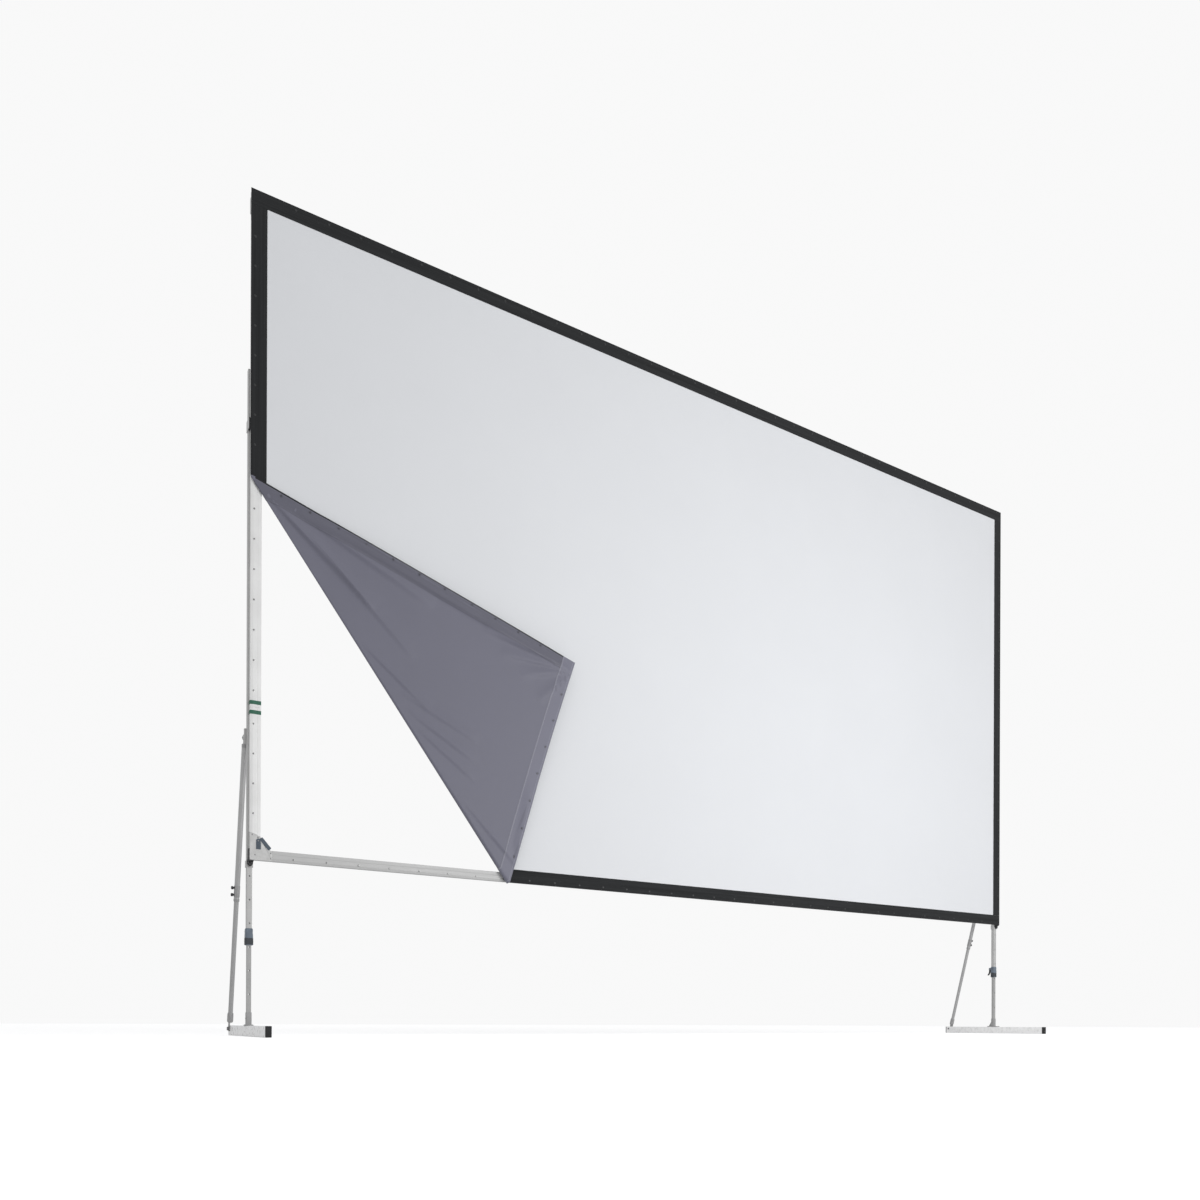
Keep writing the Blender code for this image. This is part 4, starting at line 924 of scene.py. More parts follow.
def cloth_piece(name, grids, proud, thick, finish, measure, others=()):
    """A layer of cloth over grids of the flat sheet's x and z, standing off the middle surface by proud.

    Its UV map is what measure makes of x and z, in metres. Proud is more than zero in front. The other
    finishes are those of its back and its rim.
    """
    shape_points, flat_points, faces, start = [], [], [], 0
    for x, z in grids:
        x, z = np.broadcast_arrays(x, z)
        shape_points.append((sheet_at(x, z) + facing(x, z) * proud).reshape(-1, 3))
        flat_points.append(np.stack(measure(x, z), -1).reshape(-1, 2))
        index = start + np.arange(x.size).reshape(x.shape)
        around = [index[:-1, :-1], index[:-1, 1:], index[1:, 1:], index[1:, :-1]]
        faces.append(np.stack(around, -1).reshape(-1, 4))
        start += x.size
    points, flat, faces = (np.concatenate(part) for part in (shape_points, flat_points, faces))
    mesh = bpy.data.meshes.new(name)
    mesh.from_pydata(points.tolist(), [], faces.tolist())
    mesh.uv_layers.new(name="cut").data.foreach_set("uv", flat[faces.reshape(-1)].reshape(-1))
    shape = bmesh.new()
    shape.from_mesh(mesh)
    bmesh.ops.remove_doubles(shape, verts=shape.verts, dist=WELD)
    bmesh.ops.dissolve_degenerate(shape, edges=shape.edges, dist=SLIVER)
    bmesh.ops.recalc_face_normals(shape, faces=shape.faces)
    rearmost = max(shape.faces, key=lambda face: face.calc_center_median().y)
    if rearmost.normal.y > 0:
        bmesh.ops.reverse_faces(shape, faces=shape.faces)
    shape.to_mesh(mesh)
    shape.free()
    for material in (finish, *others):
        mesh.materials.append(material)
    made = bpy.data.objects.new(name, mesh)
    bpy.context.scene.collection.objects.link(made)
    solid = made.modifiers.new("thickness", "SOLIDIFY")
    solid.thickness = thick
    solid.offset = 0
    if others:
        solid.material_offset = 1
        solid.material_offset_rim = 2
    settled(made, CLOTH_SMOOTH)
    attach(made, "frame")
    return made


def cut_map(x, z):
    """UV for the whole sheet: metres from its lower left corner."""
    return x + sheet_x, z - sheet_low


# Weave: two crossed sets of fine threads. Stitches: a dashed line beside an edge, in UV metres.
WEAVE, given, result, wires = effect("weave", {"Pitch": 0.0008}, "Height")
axes = wires.node("SeparateXYZ", Vector=given["Vector"])
waves = []
for axis in "XY":
    phase = wires.maths("MULTIPLY", wires.maths("DIVIDE", axes.outputs[axis], given["Pitch"]), 2 * math.pi)
    waves.append(wires.maths("SINE", phase))
wires.give(result, wires.maths("MULTIPLY", *waves))

STITCH, given, result, wires = effect("stitches", {"Place": 0.005, "Pitch": 0.004, "Width": 0.0006}, "Mask")
axes = wires.node("SeparateXYZ", Vector=given["Vector"])
aside = wires.maths("ABSOLUTE", wires.maths("SUBTRACT", axes.outputs["Y"], given["Place"]))
on_line = wires.maths("LESS_THAN", aside, given["Width"])
beat = wires.maths("FRACT", wires.maths("DIVIDE", axes.outputs["X"], given["Pitch"]))
wires.give(result, wires.maths("MULTIPLY", on_line, wires.maths("LESS_THAN", beat, 0.68)))


CLOTH_SHEEN_ROUGHNESS = 0.45
CLOTH_GLOSS = 0.28
CLOTH_ROUGHNESS = 0.04
WEAVE_DEPTH = 0.0002
RIB_RELIEF = 3.0
THREAD_RELIEF = 2.0


def cloth(name, slot, colour, roughness, sheen, bump, mottle=0.03, seams=(), thread=None, ribs=0.0, bands=()):
    """A coated cloth: fine weave, slight mottling and, where given, seams, ribs and bands along it."""
    made, shader, wires = bare_finish(name, slot)
    shader.inputs["Sheen Weight"].default_value = sheen
    shader.inputs["Sheen Roughness"].default_value = CLOTH_SHEEN_ROUGHNESS
    shader.inputs["Specular IOR Level"].default_value = CLOTH_GLOSS
    flat = wires.node("UVMap")
    flat.uv_map = "cut"
    flat = flat.outputs["UV"]
    height = wires.place(WEAVE, "Height", Vector=flat, Pitch=0.0009)
    cloud = wires.place(CLOUDS, "Cloud", Vector=flat, Size=0.6)
    shown = wires.tint(wires.spread(cloud, 0.0, 1.0), mixed(colour, -mottle), mixed(colour, mottle))
    if ribs:
        squeezed = wires.node("Mapping", Vector=flat, Scale=(0.01, 1, 1)).outputs["Vector"]
        rib = wires.place(LINES, "Lines", Vector=squeezed, Pitch=0.012)
        shown = wires.tint(wires.spread(rib, 0.0, ribs), shown, tuple(min(1, c * 3 + 0.02) for c in colour))
        height = wires.maths("ADD", height, wires.maths("MULTIPLY", rib, RIB_RELIEF))
    for seam in seams:
        mask = wires.place(STITCH, "Mask", Vector=flat, Place=seam)
        shown = wires.tint(mask, shown, thread)
        height = wires.maths("ADD", height, wires.maths("MULTIPLY", mask, THREAD_RELIEF))
    across = wires.node("SeparateXYZ", Vector=flat).outputs["Y"]
    for middle, half_width, band_colour in bands:
        apart = wires.maths("ABSOLUTE", wires.maths("SUBTRACT", across, middle))
        shown = wires.tint(wires.maths("LESS_THAN", apart, half_width), shown, band_colour)
    rough = wires.spread(cloud, roughness - CLOTH_ROUGHNESS, roughness + CLOTH_ROUGHNESS)
    surfaced(shader, wires, shown, rough, height, bump, WEAVE_DEPTH)
    return made


FILM_FRONT = cloth("grey_film", "grey_cloth", FILM, 0.62, 0.0, 0.06, 0.008)
FILM_BACK = cloth("blue_grey_back", "grey_cloth", BACK, 0.5, 0.12, 0.12)
FILM_RIM = moulded("cut_edge", "grey_cloth", (0.05, 0.05, 0.06), 0.7)

top_rows = np.array([0, 0.004, 0.008, 0.014, 0.021, 0.029, 0.039, 0.0495])
SHEET_ROWS = np.concatenate([top_rows, np.linspace(0.061, 1, 110)])
SHEET_SHARES = np.concatenate([np.linspace(0, ROLL_SHARE, 9), np.linspace(ROLL_SHARE, 1, 230)[1:]])
left_up, over, down = 6, 59, 24
along_foot = len(SHEET_ROWS) - left_up - over - down
far_x = np.concatenate([
    np.full(left_up, -sheet_x), np.linspace(-sheet_x, sheet_x, over + 1)[1:], np.full(down, sheet_x),
    np.linspace(sheet_x, FOLD_RUN - sheet_x, along_foot + 1)[1:],
])
far_z = np.concatenate([
    np.linspace(fold_top, sheet_high, left_up), np.full(over, sheet_high),
    np.linspace(sheet_high, sheet_low, down + 1)[1:], np.full(along_foot, sheet_low),
])
fan = np.linspace(0, 1, 7)[:, None]
fold_x, fold_z = corner_point(0, SHEET_ROWS)
flat_grid = (fold_x * (1 - fan) + far_x * fan, fold_z * (1 - fan) + far_z * fan)
corner_grid = corner_point(*np.meshgrid(SHEET_SHARES, SHEET_ROWS))
screen = cloth_piece(
    "screen_cloth_sheet", [corner_grid, flat_grid], 0, CLOTH_T, FILM_FRONT, cut_map, (FILM_BACK, FILM_RIM)
)
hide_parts("screen_cloth")

# Borders and hems: a black strip sewn on the face along every edge, and behind it the cloth turned in
# to a hem, stitched twice and black along the outer 9 mm of the upright edges. Both follow the fold.
BORDER_W = 0.088
BORDER_T = 0.0008
HEM_W = 0.090
HEM_T = 0.0007
BUTT = 0.0006


def edge_grids(edge, width):
    """Grids of the flat sheet's x and z that cover one edge's strip, on both sides of the fold line.

    Upright strips stop a butt joint short of the level ones. In the corner the grids follow shares and rows.
    """
    across = np.linspace(0, 1, 5)
    if edge == "top":
        return [np.meshgrid(np.linspace(-sheet_x, sheet_x, 80), sheet_high - width * (1 - across))]
    if edge == "right":
        rise = np.linspace(sheet_low + width + BUTT, sheet_high - width - BUTT, 50)
        return [np.meshgrid(sheet_x - width * (1 - across), rise)]
    if edge == "left":
        inward = width * across
        low_z = fold_top - inward * FOLD_RISE / FOLD_RUN
        rise = np.linspace(0, 1, 24)[:, None]
        straight = (inward - sheet_x, low_z + (sheet_high - width - BUTT - low_z) * rise)
        last = 1 - (width + BUTT) / FOLD_RISE
        row = np.concatenate([inward / FOLD_RUN, np.linspace(width / FOLD_RUN, last, 90)[1:]])[:, None]
        first = np.clip(1 - np.arctan2(width, np.maximum(row * FOLD_RISE, SHORTEST)) / whole, 0, 1)
        fine = np.concatenate([np.linspace(0, ROLL_SHARE, 7), np.linspace(ROLL_SHARE, 1, 12)[1:]])
        return [straight, corner_point(first + (1 - first) * fine, row)]
    z = sheet_low + width * across[:, None]
    fold_at = (fold_top - z) * FOLD_RUN / FOLD_RISE - sheet_x
    straight = (fold_at + (sheet_x - fold_at) * np.linspace(0, 1, 60), z)
    return [straight, corner_point(SHEET_SHARES, (fold_top - z) / FOLD_RISE)]


def edge_measure(edge):
    """UV for a strip: how far along its edge, and how far in from it."""
    return {
        "top": lambda x, z: (x + sheet_x, sheet_high - z),
        "bottom": lambda x, z: (x + sheet_x, z - sheet_low),
        "left": lambda x, z: (z - sheet_low, x + sheet_x),
        "right": lambda x, z: (z - sheet_low, sheet_x - x),
    }[edge]


BORDER = cloth(
    "black_border_strip", "black_border", (0.0075, 0.0083, 0.0092), 0.78, 0.08, 0.25, 0.1,
    (0.004, BORDER_W - 0.004), (0.02, 0.021, 0.022), 0.35,
)
hem_seams = (0.012, HEM_W - 0.006)
# The upright hems are coloured black along their outer 9 mm.
upright_black_edge = ((0.0, 0.009, (0.012, 0.012, 0.014)),)
# A thin pale line along the inner edge of the level hems is a painted highlight.
hem_painted_highlight = ((HEM_W - 0.0015, 0.0015, (0.26, 0.26, 0.30)),)
# The upright hems and their stitches are painted darker than the back's blue-grey: painted shade.
HEM_UPRIGHT_SHADED = cloth(
    "hem_upright", "grey_cloth", mixed(BACK, -0.22), 0.48, 0.12, 0.15, 0.04,
    hem_seams, (0.2, 0.2, 0.24), 0, upright_black_edge,
)
# The level hems and their stitches are painted lighter than the back's blue-grey: painted light.
HEM_LEVEL_LIT = cloth(
    "hem_level", "grey_cloth", mixed(BACK, 0.12), 0.48, 0.12, 0.15, 0.04,
    hem_seams, (0.4, 0.4, 0.45), 0, hem_painted_highlight,
)

soft_parts = []
strip_stand = CLOTH_T / 2 + FIT + BORDER_T / 2
hem_stand = CLOTH_T / 2 + FIT / 2 + HEM_T / 2
for edge in ("top", "bottom", "left", "right"):
    hem_finish = HEM_UPRIGHT_SHADED if edge in ("left", "right") else HEM_LEVEL_LIT
    measure = edge_measure(edge)
    grids = edge_grids(edge, BORDER_W)
    strip = cloth_piece(f"border_{edge}_strip", grids, strip_stand, BORDER_T, BORDER, measure)
    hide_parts(f"border_{edge}")
    hem = cloth_piece(f"hem_{edge}", edge_grids(edge, HEM_W), -hem_stand, HEM_T, hem_finish, measure)
    soft_parts += [strip, hem]

# Snap sockets: nickelled cups riveted through the hem at every stud, each with a black cap on the face.
SOCKET_PROFILE = (
    (0, 0.0004), (0.0046, 0.0004), (0.0048, 0.0022), (0.0056, 0.0027), (0.0066, 0.0023), (0.0071, 0.0010),
    (0.0071, -0.0004),
)
CAP_PROFILE = ((0.0068, -0.0004), (0.0068, 0.0004), (0.0058, 0.0011), (0.0030, 0.0015), (0, 0.0016))
SOCKET_METAL = metal("socket_nickel", "leg_aluminium", (0.11, 0.11, 0.125), "Y", roughness=0.38, metallic=0.6)
CAP_BLACK = moulded("snap_cap", "black_border", (0.016, 0.017, 0.018), 0.35, 0.001, 0.15)
for edge, places in STUD_ROWS.items():
    flat = on_side(edge, places, STUD_EDGE, frame_front)
    x, z = flat[:, 0], flat[:, 2]
    cups, caps = [], []
    for spot, normal in zip(sheet_at(x, z), facing(x, z)):
        cup_at = spot - normal * (CLOTH_T / 2 + FIT / 2 + HEM_T)
        cap_at = spot + normal * (CLOTH_T / 2 + FIT + BORDER_T)
        cups.append(turned(SOCKET_PROFILE, cup_at, -normal, SCREW_SIDES))
        caps.append(turned(CAP_PROFILE, cap_at, normal, SCREW_SIDES))
    soft_parts += [add(f"snap_sockets_{edge}", cups, SOCKET_METAL), add(f"snap_caps_{edge}", caps, CAP_BLACK)]

# Uprights: square drawn tubes behind the frame's sides, with an index hole through the front and back
# walls at every step of the height, and a black plastic cap pushed in the open top.
UPRIGHT_HALF = 0.015
UPRIGHT_WALL = 0.0025
TUBE_EDGE = 0.002
HOLE_R = 0.0045
HOLE_PITCH = 0.1335
HOLE_MARGIN = 0.065
TOP_CAP_T = 0.003
TOP_CAP_PLUG = 0.025
LEG_TUBE = metal("leg_tube", "leg_aluminium", (0.49, 0.49, 0.485), "Z", roughness=0.36, metallic=0.35)
BLACK = moulded("black_plastic", "black_plastic", (0.020, 0.021, 0.023), 0.48, 0.0012, 0.3)
leg_x = (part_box("right_upright")[0].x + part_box("right_upright")[1].x) / 2
upright_foot, upright_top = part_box("left_upright")[0].z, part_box("left_upright")[1].z
tube_foot, tube_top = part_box("left_inner_tube")[0].z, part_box("left_inner_tube")[1].z
FIRST_HOLE = 0.238
LEGS = {"left": -1, "right": 1}


def leg_placer(sign):
    """Turns a distance outward from a leg's middle, a depth and a height into X, Y and Z."""

    def place(points):
        """The points, moved out to their leg."""
        return np.stack([sign * (leg_x + points[:, 0]), points[:, 1], points[:, 2]], 1)

    return place


def rod(radius, low, high):
    """The profile of a plain round rod between two levels."""
    return ((0, low), (radius, low), (radius, high), (0, high))


def squares(sections, order, to, closed=False, flatter=0.0):
    """A skin over rounded squares, each given by its half width, its corner's radius and its level.

    Those that go round the upright's outside are less deep than wide by flatter on each face.
    """
    loops = []
    for half, radius, at in sections:
        deep = half - flatter if half > UPRIGHT_HALF + 0.002 else half
        loops.append((rounded(oblong(-half, half, -deep, deep), radius), at))
    return skin([to(ring(loop, at, order)) for loop, at in loops], closed)


def square_tube(half, wall, low, high, to):
    """A hollow square tube: up the outer skin, in over the wall and back down the bore."""
    bore, bore_edge, eased = half - wall, TUBE_EDGE / 4, half - END_EASE
    sections = (
        (eased, TUBE_EDGE, low), (half, TUBE_EDGE, low + END_EASE), (half, TUBE_EDGE, high - END_EASE),
        (eased, TUBE_EDGE, high), (bore, bore_edge, high), (bore, bore_edge, low),
    )
    return squares(sections, ALONG_Z, to, closed=True)


def index_holes(low, high, half, to):
    """A drill for each step of the height between two levels, through the front and back walls."""
    count = math.floor((high - HOLE_MARGIN - FIRST_HOLE) / HOLE_PITCH) + 1
    heights = FIRST_HOLE + HOLE_PITCH * np.arange(count)
    centres = np.array([(0, 0, z) for z in heights if z > low + HOLE_MARGIN])
    return [turned(rod(HOLE_R, -2 * half, 2 * half), centre, (0, 1, 0)) for centre in to(centres)]


plug_half = UPRIGHT_HALF - UPRIGHT_WALL - FIT
cap_steps = (
    (plug_half - EDGE_R, -TOP_CAP_PLUG), (plug_half, -TOP_CAP_PLUG * 0.9), (plug_half, 0), (UPRIGHT_HALF, 0),
    (UPRIGHT_HALF, TOP_CAP_T * 0.6), (UPRIGHT_HALF * 0.9, TOP_CAP_T),
)
cap_rings = [(across, TUBE_EDGE, upright_top + up) for across, up in cap_steps]
for side, sign in LEGS.items():
    place = leg_placer(sign)
    tube = square_tube(UPRIGHT_HALF, UPRIGHT_WALL, upright_foot, upright_top, place)
    holes = index_holes(upright_foot, upright_top, UPRIGHT_HALF, place)
    add(f"{side}_upright_tube", [tube], LEG_TUBE, "frame", [f"{side}_upright"], holes=holes)
    add(f"{side}_upright_cap", [squares(cap_rings, ALONG_Z, place)], BLACK)

# Hook clamps: a bent aluminium channel that grips the frame's side and the upright together from behind,
# with a rubber pad against the frame and two screws through its back into the upright.
HOOK_T = 0.003
HOOK_FRONT = -0.0423
HOOK_BACK_T = 0.005
PAD_LOW = 0.0063
PAD_HIGH = 0.0160
HOOK_SCREW = 0.015
HOOK_EDGE = 0.0006
HOOK_BEND = 0.0012
RUBBER_EDGE = 0.001
RUBBER_CORNER = 0.0015
RUBBER = moulded("black_rubber", "black_plastic", (0.016, 0.016, 0.017), 0.7, 0.0015, 0.4)
hook_low, hook_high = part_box("left_hook_clamp")[0].z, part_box("left_hook_clamp")[1].z
hook_out = UPRIGHT_HALF + FIT + HOOK_T
hook_in = leg_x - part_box("right_hook_clamp")[0].x
hook_back = UPRIGHT_HALF + FIT
hook_face = hook_back + HOOK_BACK_T
channel = [
    (-hook_in, HOOK_FRONT), (HOOK_T - hook_in, HOOK_FRONT), (HOOK_T - hook_in, hook_back),
    (hook_out - HOOK_T, hook_back), (hook_out - HOOK_T, HOOK_FRONT), (hook_out, HOOK_FRONT),
    (hook_out, hook_face), (-hook_in, hook_face),
]
rubber_box = oblong(PAD_LOW, PAD_HIGH, HOOK_FRONT, -hook_back)
middle = (hook_low + hook_high) / 2
spots = np.array([(0, hook_face, middle - HOOK_SCREW), (0, hook_face, middle + HOOK_SCREW)])
for side, sign in LEGS.items():
    place = leg_placer(sign)
    bent = slab(channel, hook_low, hook_high, ALONG_Z, HOOK_EDGE, HOOK_BEND, place)
    add(f"{side}_hook_channel", [bent], LEG_TUBE, "frame", [f"{side}_hook_clamp"])
    pad = slab(rubber_box, hook_low, hook_high, ALONG_Z, RUBBER_EDGE, RUBBER_CORNER, place)
    add(f"{side}_hook_pad", [pad], RUBBER)
    add(f"{side}_hook_screws", [screw(spot, (0, 1, 0)) for spot in place(spots)], STEEL)

# Shelf clamps: slim aluminium sleeves screwed tight on the uprights. Each carries a black ribbed shelf that
# the frame's lower corner stands on, with a wall beside the corner, and a lobed knob drives the screw.
SLEEVE_HALF = 0.0190
SLEEVE_BORE = 0.0153
SLEEVE_EDGE = 0.003
PLATE_HALF = 0.0170
SHELF_T = 0.008
SHELF_FRONT = -0.0443
WALL_T = 0.004
RIB_LOW = 0.0135
RIB_T = 0.0028
RIB_DROP = 0.022
RIB_INTO = 0.002
RIB_SHORT = 0.004
RIB_EDGE = 0.0005
SHELF_EDGE = 0.001
WALL_CORNER = 0.0015
KNOB_R = 0.0118
KNOB_SIDES = 50
KNOB_LOBES = 5
KNOB_SWELL = 0.10
KNOB_SMOOTH = 40
KNOB_SHELF = (
    (0, 0), (0.0028, 0), (0.0028, 0.0044), (0.0085, 0.0046), (0.0110, 0.0056), (KNOB_R, 0.0080),
    (KNOB_R, 0.0147), (0.0113, 0.0178), (0.0096, 0.0196), (0.0062, 0.0202), (0.0052, 0.0195), (0, 0.0193),
)
shelf_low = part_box("left_shelf_clamp")[0].z
wall_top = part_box("left_shelf_clamp")[1].z
plate_box = oblong(-PLATE_HALF, PLATE_HALF, SHELF_FRONT, -SLEEVE_BORE - SHELF_EDGE)
wall_box = oblong(PAD_LOW, PAD_LOW + WALL_T, SHELF_FRONT, -SLEEVE_BORE)
for side, sign in LEGS.items():
    place = leg_placer(sign)
    shelf_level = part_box(f"{side}_foot_bar")[0].z + frame_foot
    shelf_face = shelf_level - FIT
    sleeve_rings = (
        (SLEEVE_HALF - SHELF_EDGE, SLEEVE_EDGE, shelf_low),
        (SLEEVE_HALF, SLEEVE_EDGE, shelf_low + SHELF_EDGE),
        (SLEEVE_HALF, SLEEVE_EDGE, shelf_face - SHELF_EDGE),
        (SLEEVE_HALF - SHELF_EDGE, SLEEVE_EDGE, shelf_face),
        (SLEEVE_BORE, TUBE_EDGE, shelf_face), (SLEEVE_BORE, TUBE_EDGE, shelf_low),
    )
    rib_root, rib_back = shelf_face - SHELF_T / 2, RIB_INTO - SLEEVE_HALF
    rib = [(rib_back, rib_root), (SHELF_FRONT + RIB_SHORT, rib_root), (rib_back, rib_root - RIB_DROP)]
    shapes = [
        slab(plate_box, shelf_face - SHELF_T, shelf_face, ALONG_Z, SHELF_EDGE, SLEEVE_EDGE, place),
        slab(wall_box, shelf_level - SHELF_T / 2, wall_top, ALONG_Z, SHELF_EDGE, WALL_CORNER, place),
    ]
    for low in (RIB_LOW, -RIB_LOW - RIB_T):
        shapes.append(slab(rib, low, low + RIB_T, ALONG_X, RIB_EDGE, SHELF_EDGE, place))
    add(f"{side}_shelf_bracket", shapes, BLACK, "frame", [f"{side}_shelf_clamp"])
    add(f"{side}_shelf_sleeve", [squares(sleeve_rings, ALONG_Z, place, closed=True)], LEG_TUBE)
    node = f"{side}_shelf_knob"
    knob_at = np.array(joints[f"{node}_turn"]["pos_m"]) * (1, 0, 1) - (0, SLEEVE_BORE, 0)
    knob = turned(KNOB_SHELF, knob_at, (0, -1, 0), KNOB_SIDES, KNOB_LOBES, KNOB_SWELL)
    add(f"{side}_shelf_screw_knob", [knob], BLACK, node, [node], angle=KNOB_SMOOTH)

# Height collars: cast sleeves on the uprights' lower ends that narrow to the inner tube, painted blue-grey,
# with a wider dark grip below. Two ears carry the pin of a cam lever that locks the height.
COLLAR_STEP = upright_foot - FIT
INNER_BORE = 0.0125
EAR_LOW = 0.0105
EAR_HIGH = 0.0155
EAR_BACK = 0.0165
EAR_OVER = 0.006
EAR_RISE = 0.010
EAR_EDGE = 0.0009
EAR_CORNER = 0.006
LEVER_HALF = 0.0095
LEVER_EDGE = 0.0012
LEVER_CORNER = 0.0025
SHELL_FLATTER = 0.002
SHELL_CORNER = 0.006
SHELL_WAIST = (
    (0.0206, 0.001), (0.0210, 0.004), (0.0207, 0.016), (0.0195, 0.030), (0.0193, 0.036), (0.0200, 0.038),
    (0.0200, 0.046),
)
GRIP_H = 0.041
GRIP_HALF = 0.0228
GRIP_IN = 0.0221
GRIP_BORE = 0.0198
GRIP_ROUND = 0.008
GRIP_GROOVES = 4
GRIP_STEPS = ((GRIP_HALF, 0), (GRIP_IN, 0.0012), (GRIP_IN, 0.0026), (GRIP_HALF, 0.0038))
GRIP_FLATTER = 0.004
BLUE_CAST = moulded("blue_grey_paint", "blue_grey_casting", (0.125, 0.155, 0.195), 0.38, 0.0018, 0.3)
GRIP_DARK = moulded("collar_grip", "blue_grey_casting", (0.040, 0.046, 0.054), 0.55, 0.0012, 0.35)
collar_low, collar_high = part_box("left_height_collar")[0].z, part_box("left_height_collar")[1].z
grip_high = collar_low + GRIP_H
LEVER_CURVE = (
    (0.0035, 0.003), (0.0032, -0.016), (0.0040, -0.030), (0.0090, -0.043), (0.0190, -0.0565),
    (0.0215, -0.0580), (0.0245, -0.0572), (0.0240, -0.0545), (0.0140, -0.0400), (0.0092, -0.0280),
    (0.0085, -0.015), (0.0085, 0.003),
)
BARREL = (
    (0.0078, -0.0100), (0.0085, -0.0093), (0.0085, 0.0093), (0.0078, 0.0100), (0.0035, 0.0100),
    (0.0035, -0.0100),
)
COLLAR_PIN = (
    (0, -0.0160), (0.0022, -0.0160), (0.0030, -0.0152), (0.0030, 0.0152), (0.0022, 0.0160), (0, 0.0160),
)
COLLAR_PIN_SIDES = 18
shell_rings = [
    (0.0190, SHELL_CORNER, collar_low), (0.0200, SHELL_CORNER, collar_low + 0.001),
    (0.0200, SHELL_CORNER, grip_high - 0.001),
]
shell_rings += [(across, SHELL_CORNER, grip_high + up) for across, up in SHELL_WAIST]
shell_rings += [
    (0.0192, SHELL_CORNER, collar_high - 0.003), (0.0175, 0.005, collar_high),
    (SLEEVE_BORE, TUBE_EDGE, collar_high), (SLEEVE_BORE, TUBE_EDGE, COLLAR_STEP),
    (INNER_BORE, TUBE_EDGE, COLLAR_STEP), (INNER_BORE, TUBE_EDGE, collar_low),
]
grip_rings = [(0.0212, GRIP_ROUND, collar_low + 0.001), (GRIP_HALF, GRIP_ROUND, collar_low + 0.006)]
for groove in np.linspace(collar_low + 0.010, grip_high - 0.010, GRIP_GROOVES):
    grip_rings += [(across, GRIP_ROUND, groove + up) for across, up in GRIP_STEPS]
grip_rings += [
    (GRIP_HALF, GRIP_ROUND, grip_high - 0.003), (0.0216, GRIP_ROUND, grip_high),
    (GRIP_BORE, SHELL_CORNER, grip_high), (GRIP_BORE, SHELL_CORNER, collar_low + 0.001),
]
for side, sign in LEGS.items():
    place = leg_placer(sign)
    shapes = [squares(shell_rings, ALONG_Z, place, closed=True, flatter=SHELL_FLATTER)]
    pin_at = np.array(joints[f"{side}_height_lever_open"]["pos_m"])
    ear_box = oblong(EAR_BACK, pin_at[1] + EAR_OVER, pin_at[2] - EAR_RISE, pin_at[2] + EAR_RISE)
    for low in (EAR_LOW, -EAR_HIGH):
        shapes.append(slab(ear_box, low, low + EAR_HIGH - EAR_LOW, ALONG_X, EAR_EDGE, EAR_CORNER, place))
    add(f"{side}_collar_shell", shapes, BLUE_CAST, "frame", [f"{side}_height_collar"])
    grip = squares(grip_rings, ALONG_Z, place, closed=True, flatter=GRIP_FLATTER)
    add(f"{side}_collar_grip", [grip], GRIP_DARK)
    add(f"{side}_collar_pin", [turned(COLLAR_PIN, pin_at, (1, 0, 0), COLLAR_PIN_SIDES)], STEEL)
    arm_outline = [(pin_at[1] + y, pin_at[2] + z) for y, z in LEVER_CURVE]
    arm = slab(arm_outline, -LEVER_HALF, LEVER_HALF, ALONG_X, LEVER_EDGE, LEVER_CORNER, place)
    barrel = turned(BARREL, pin_at, (1, 0, 0), FINE_SIDES, closed=True)
    add(f"{side}_cam_lever", [barrel, arm], BLACK, f"{side}_height_lever", [f"{side}_height_lever"])

# Inner tubes: the sliding half of each leg, a size smaller than the upright, drilled at the same steps.
# Each is bolted in the socket of a base plate, which has a web behind it and four screws in the foot bar.
INNER_HALF = 0.0122
BASE_HALF = 0.018
BASE_REACH = 0.055
BASE_LOW = 0.0603
BASE_HIGH = 0.0653
SOCKET_HALF = 0.0148
SOCKET_HIGH = 0.1353
WEB = ((0.0138, BASE_HIGH - 0.001), (0.046, BASE_HIGH - 0.001), (0.0138, 0.118))
WEB_HALF = 0.004
CAST_RIM = 0.001
CAST_CORNER = 0.003
BASE_CORNER = 0.005
BASE_SCREW_OUT = 0.011
BASE_SCREW_IN = 0.008
BASE_SCREW = (0.0038, 0.0014)
SOCKET_BOLT = (0.006, 0.0022)
INNER_TUBE = metal("inner_tube", "leg_aluminium", (0.41, 0.41, 0.405), "Z", roughness=0.34, metallic=0.35)
DARK_CAST = moulded(
    "dark_casting", "leg_aluminium", (0.35, 0.35, 0.35), 0.45, 0.0018, 0.3, 0.3, (0.5, 0.5, 0.5)
)


def placed(place, x, y, z):
    """One point put in its place."""
    return place(np.array([(x, y, z)], float))[0]


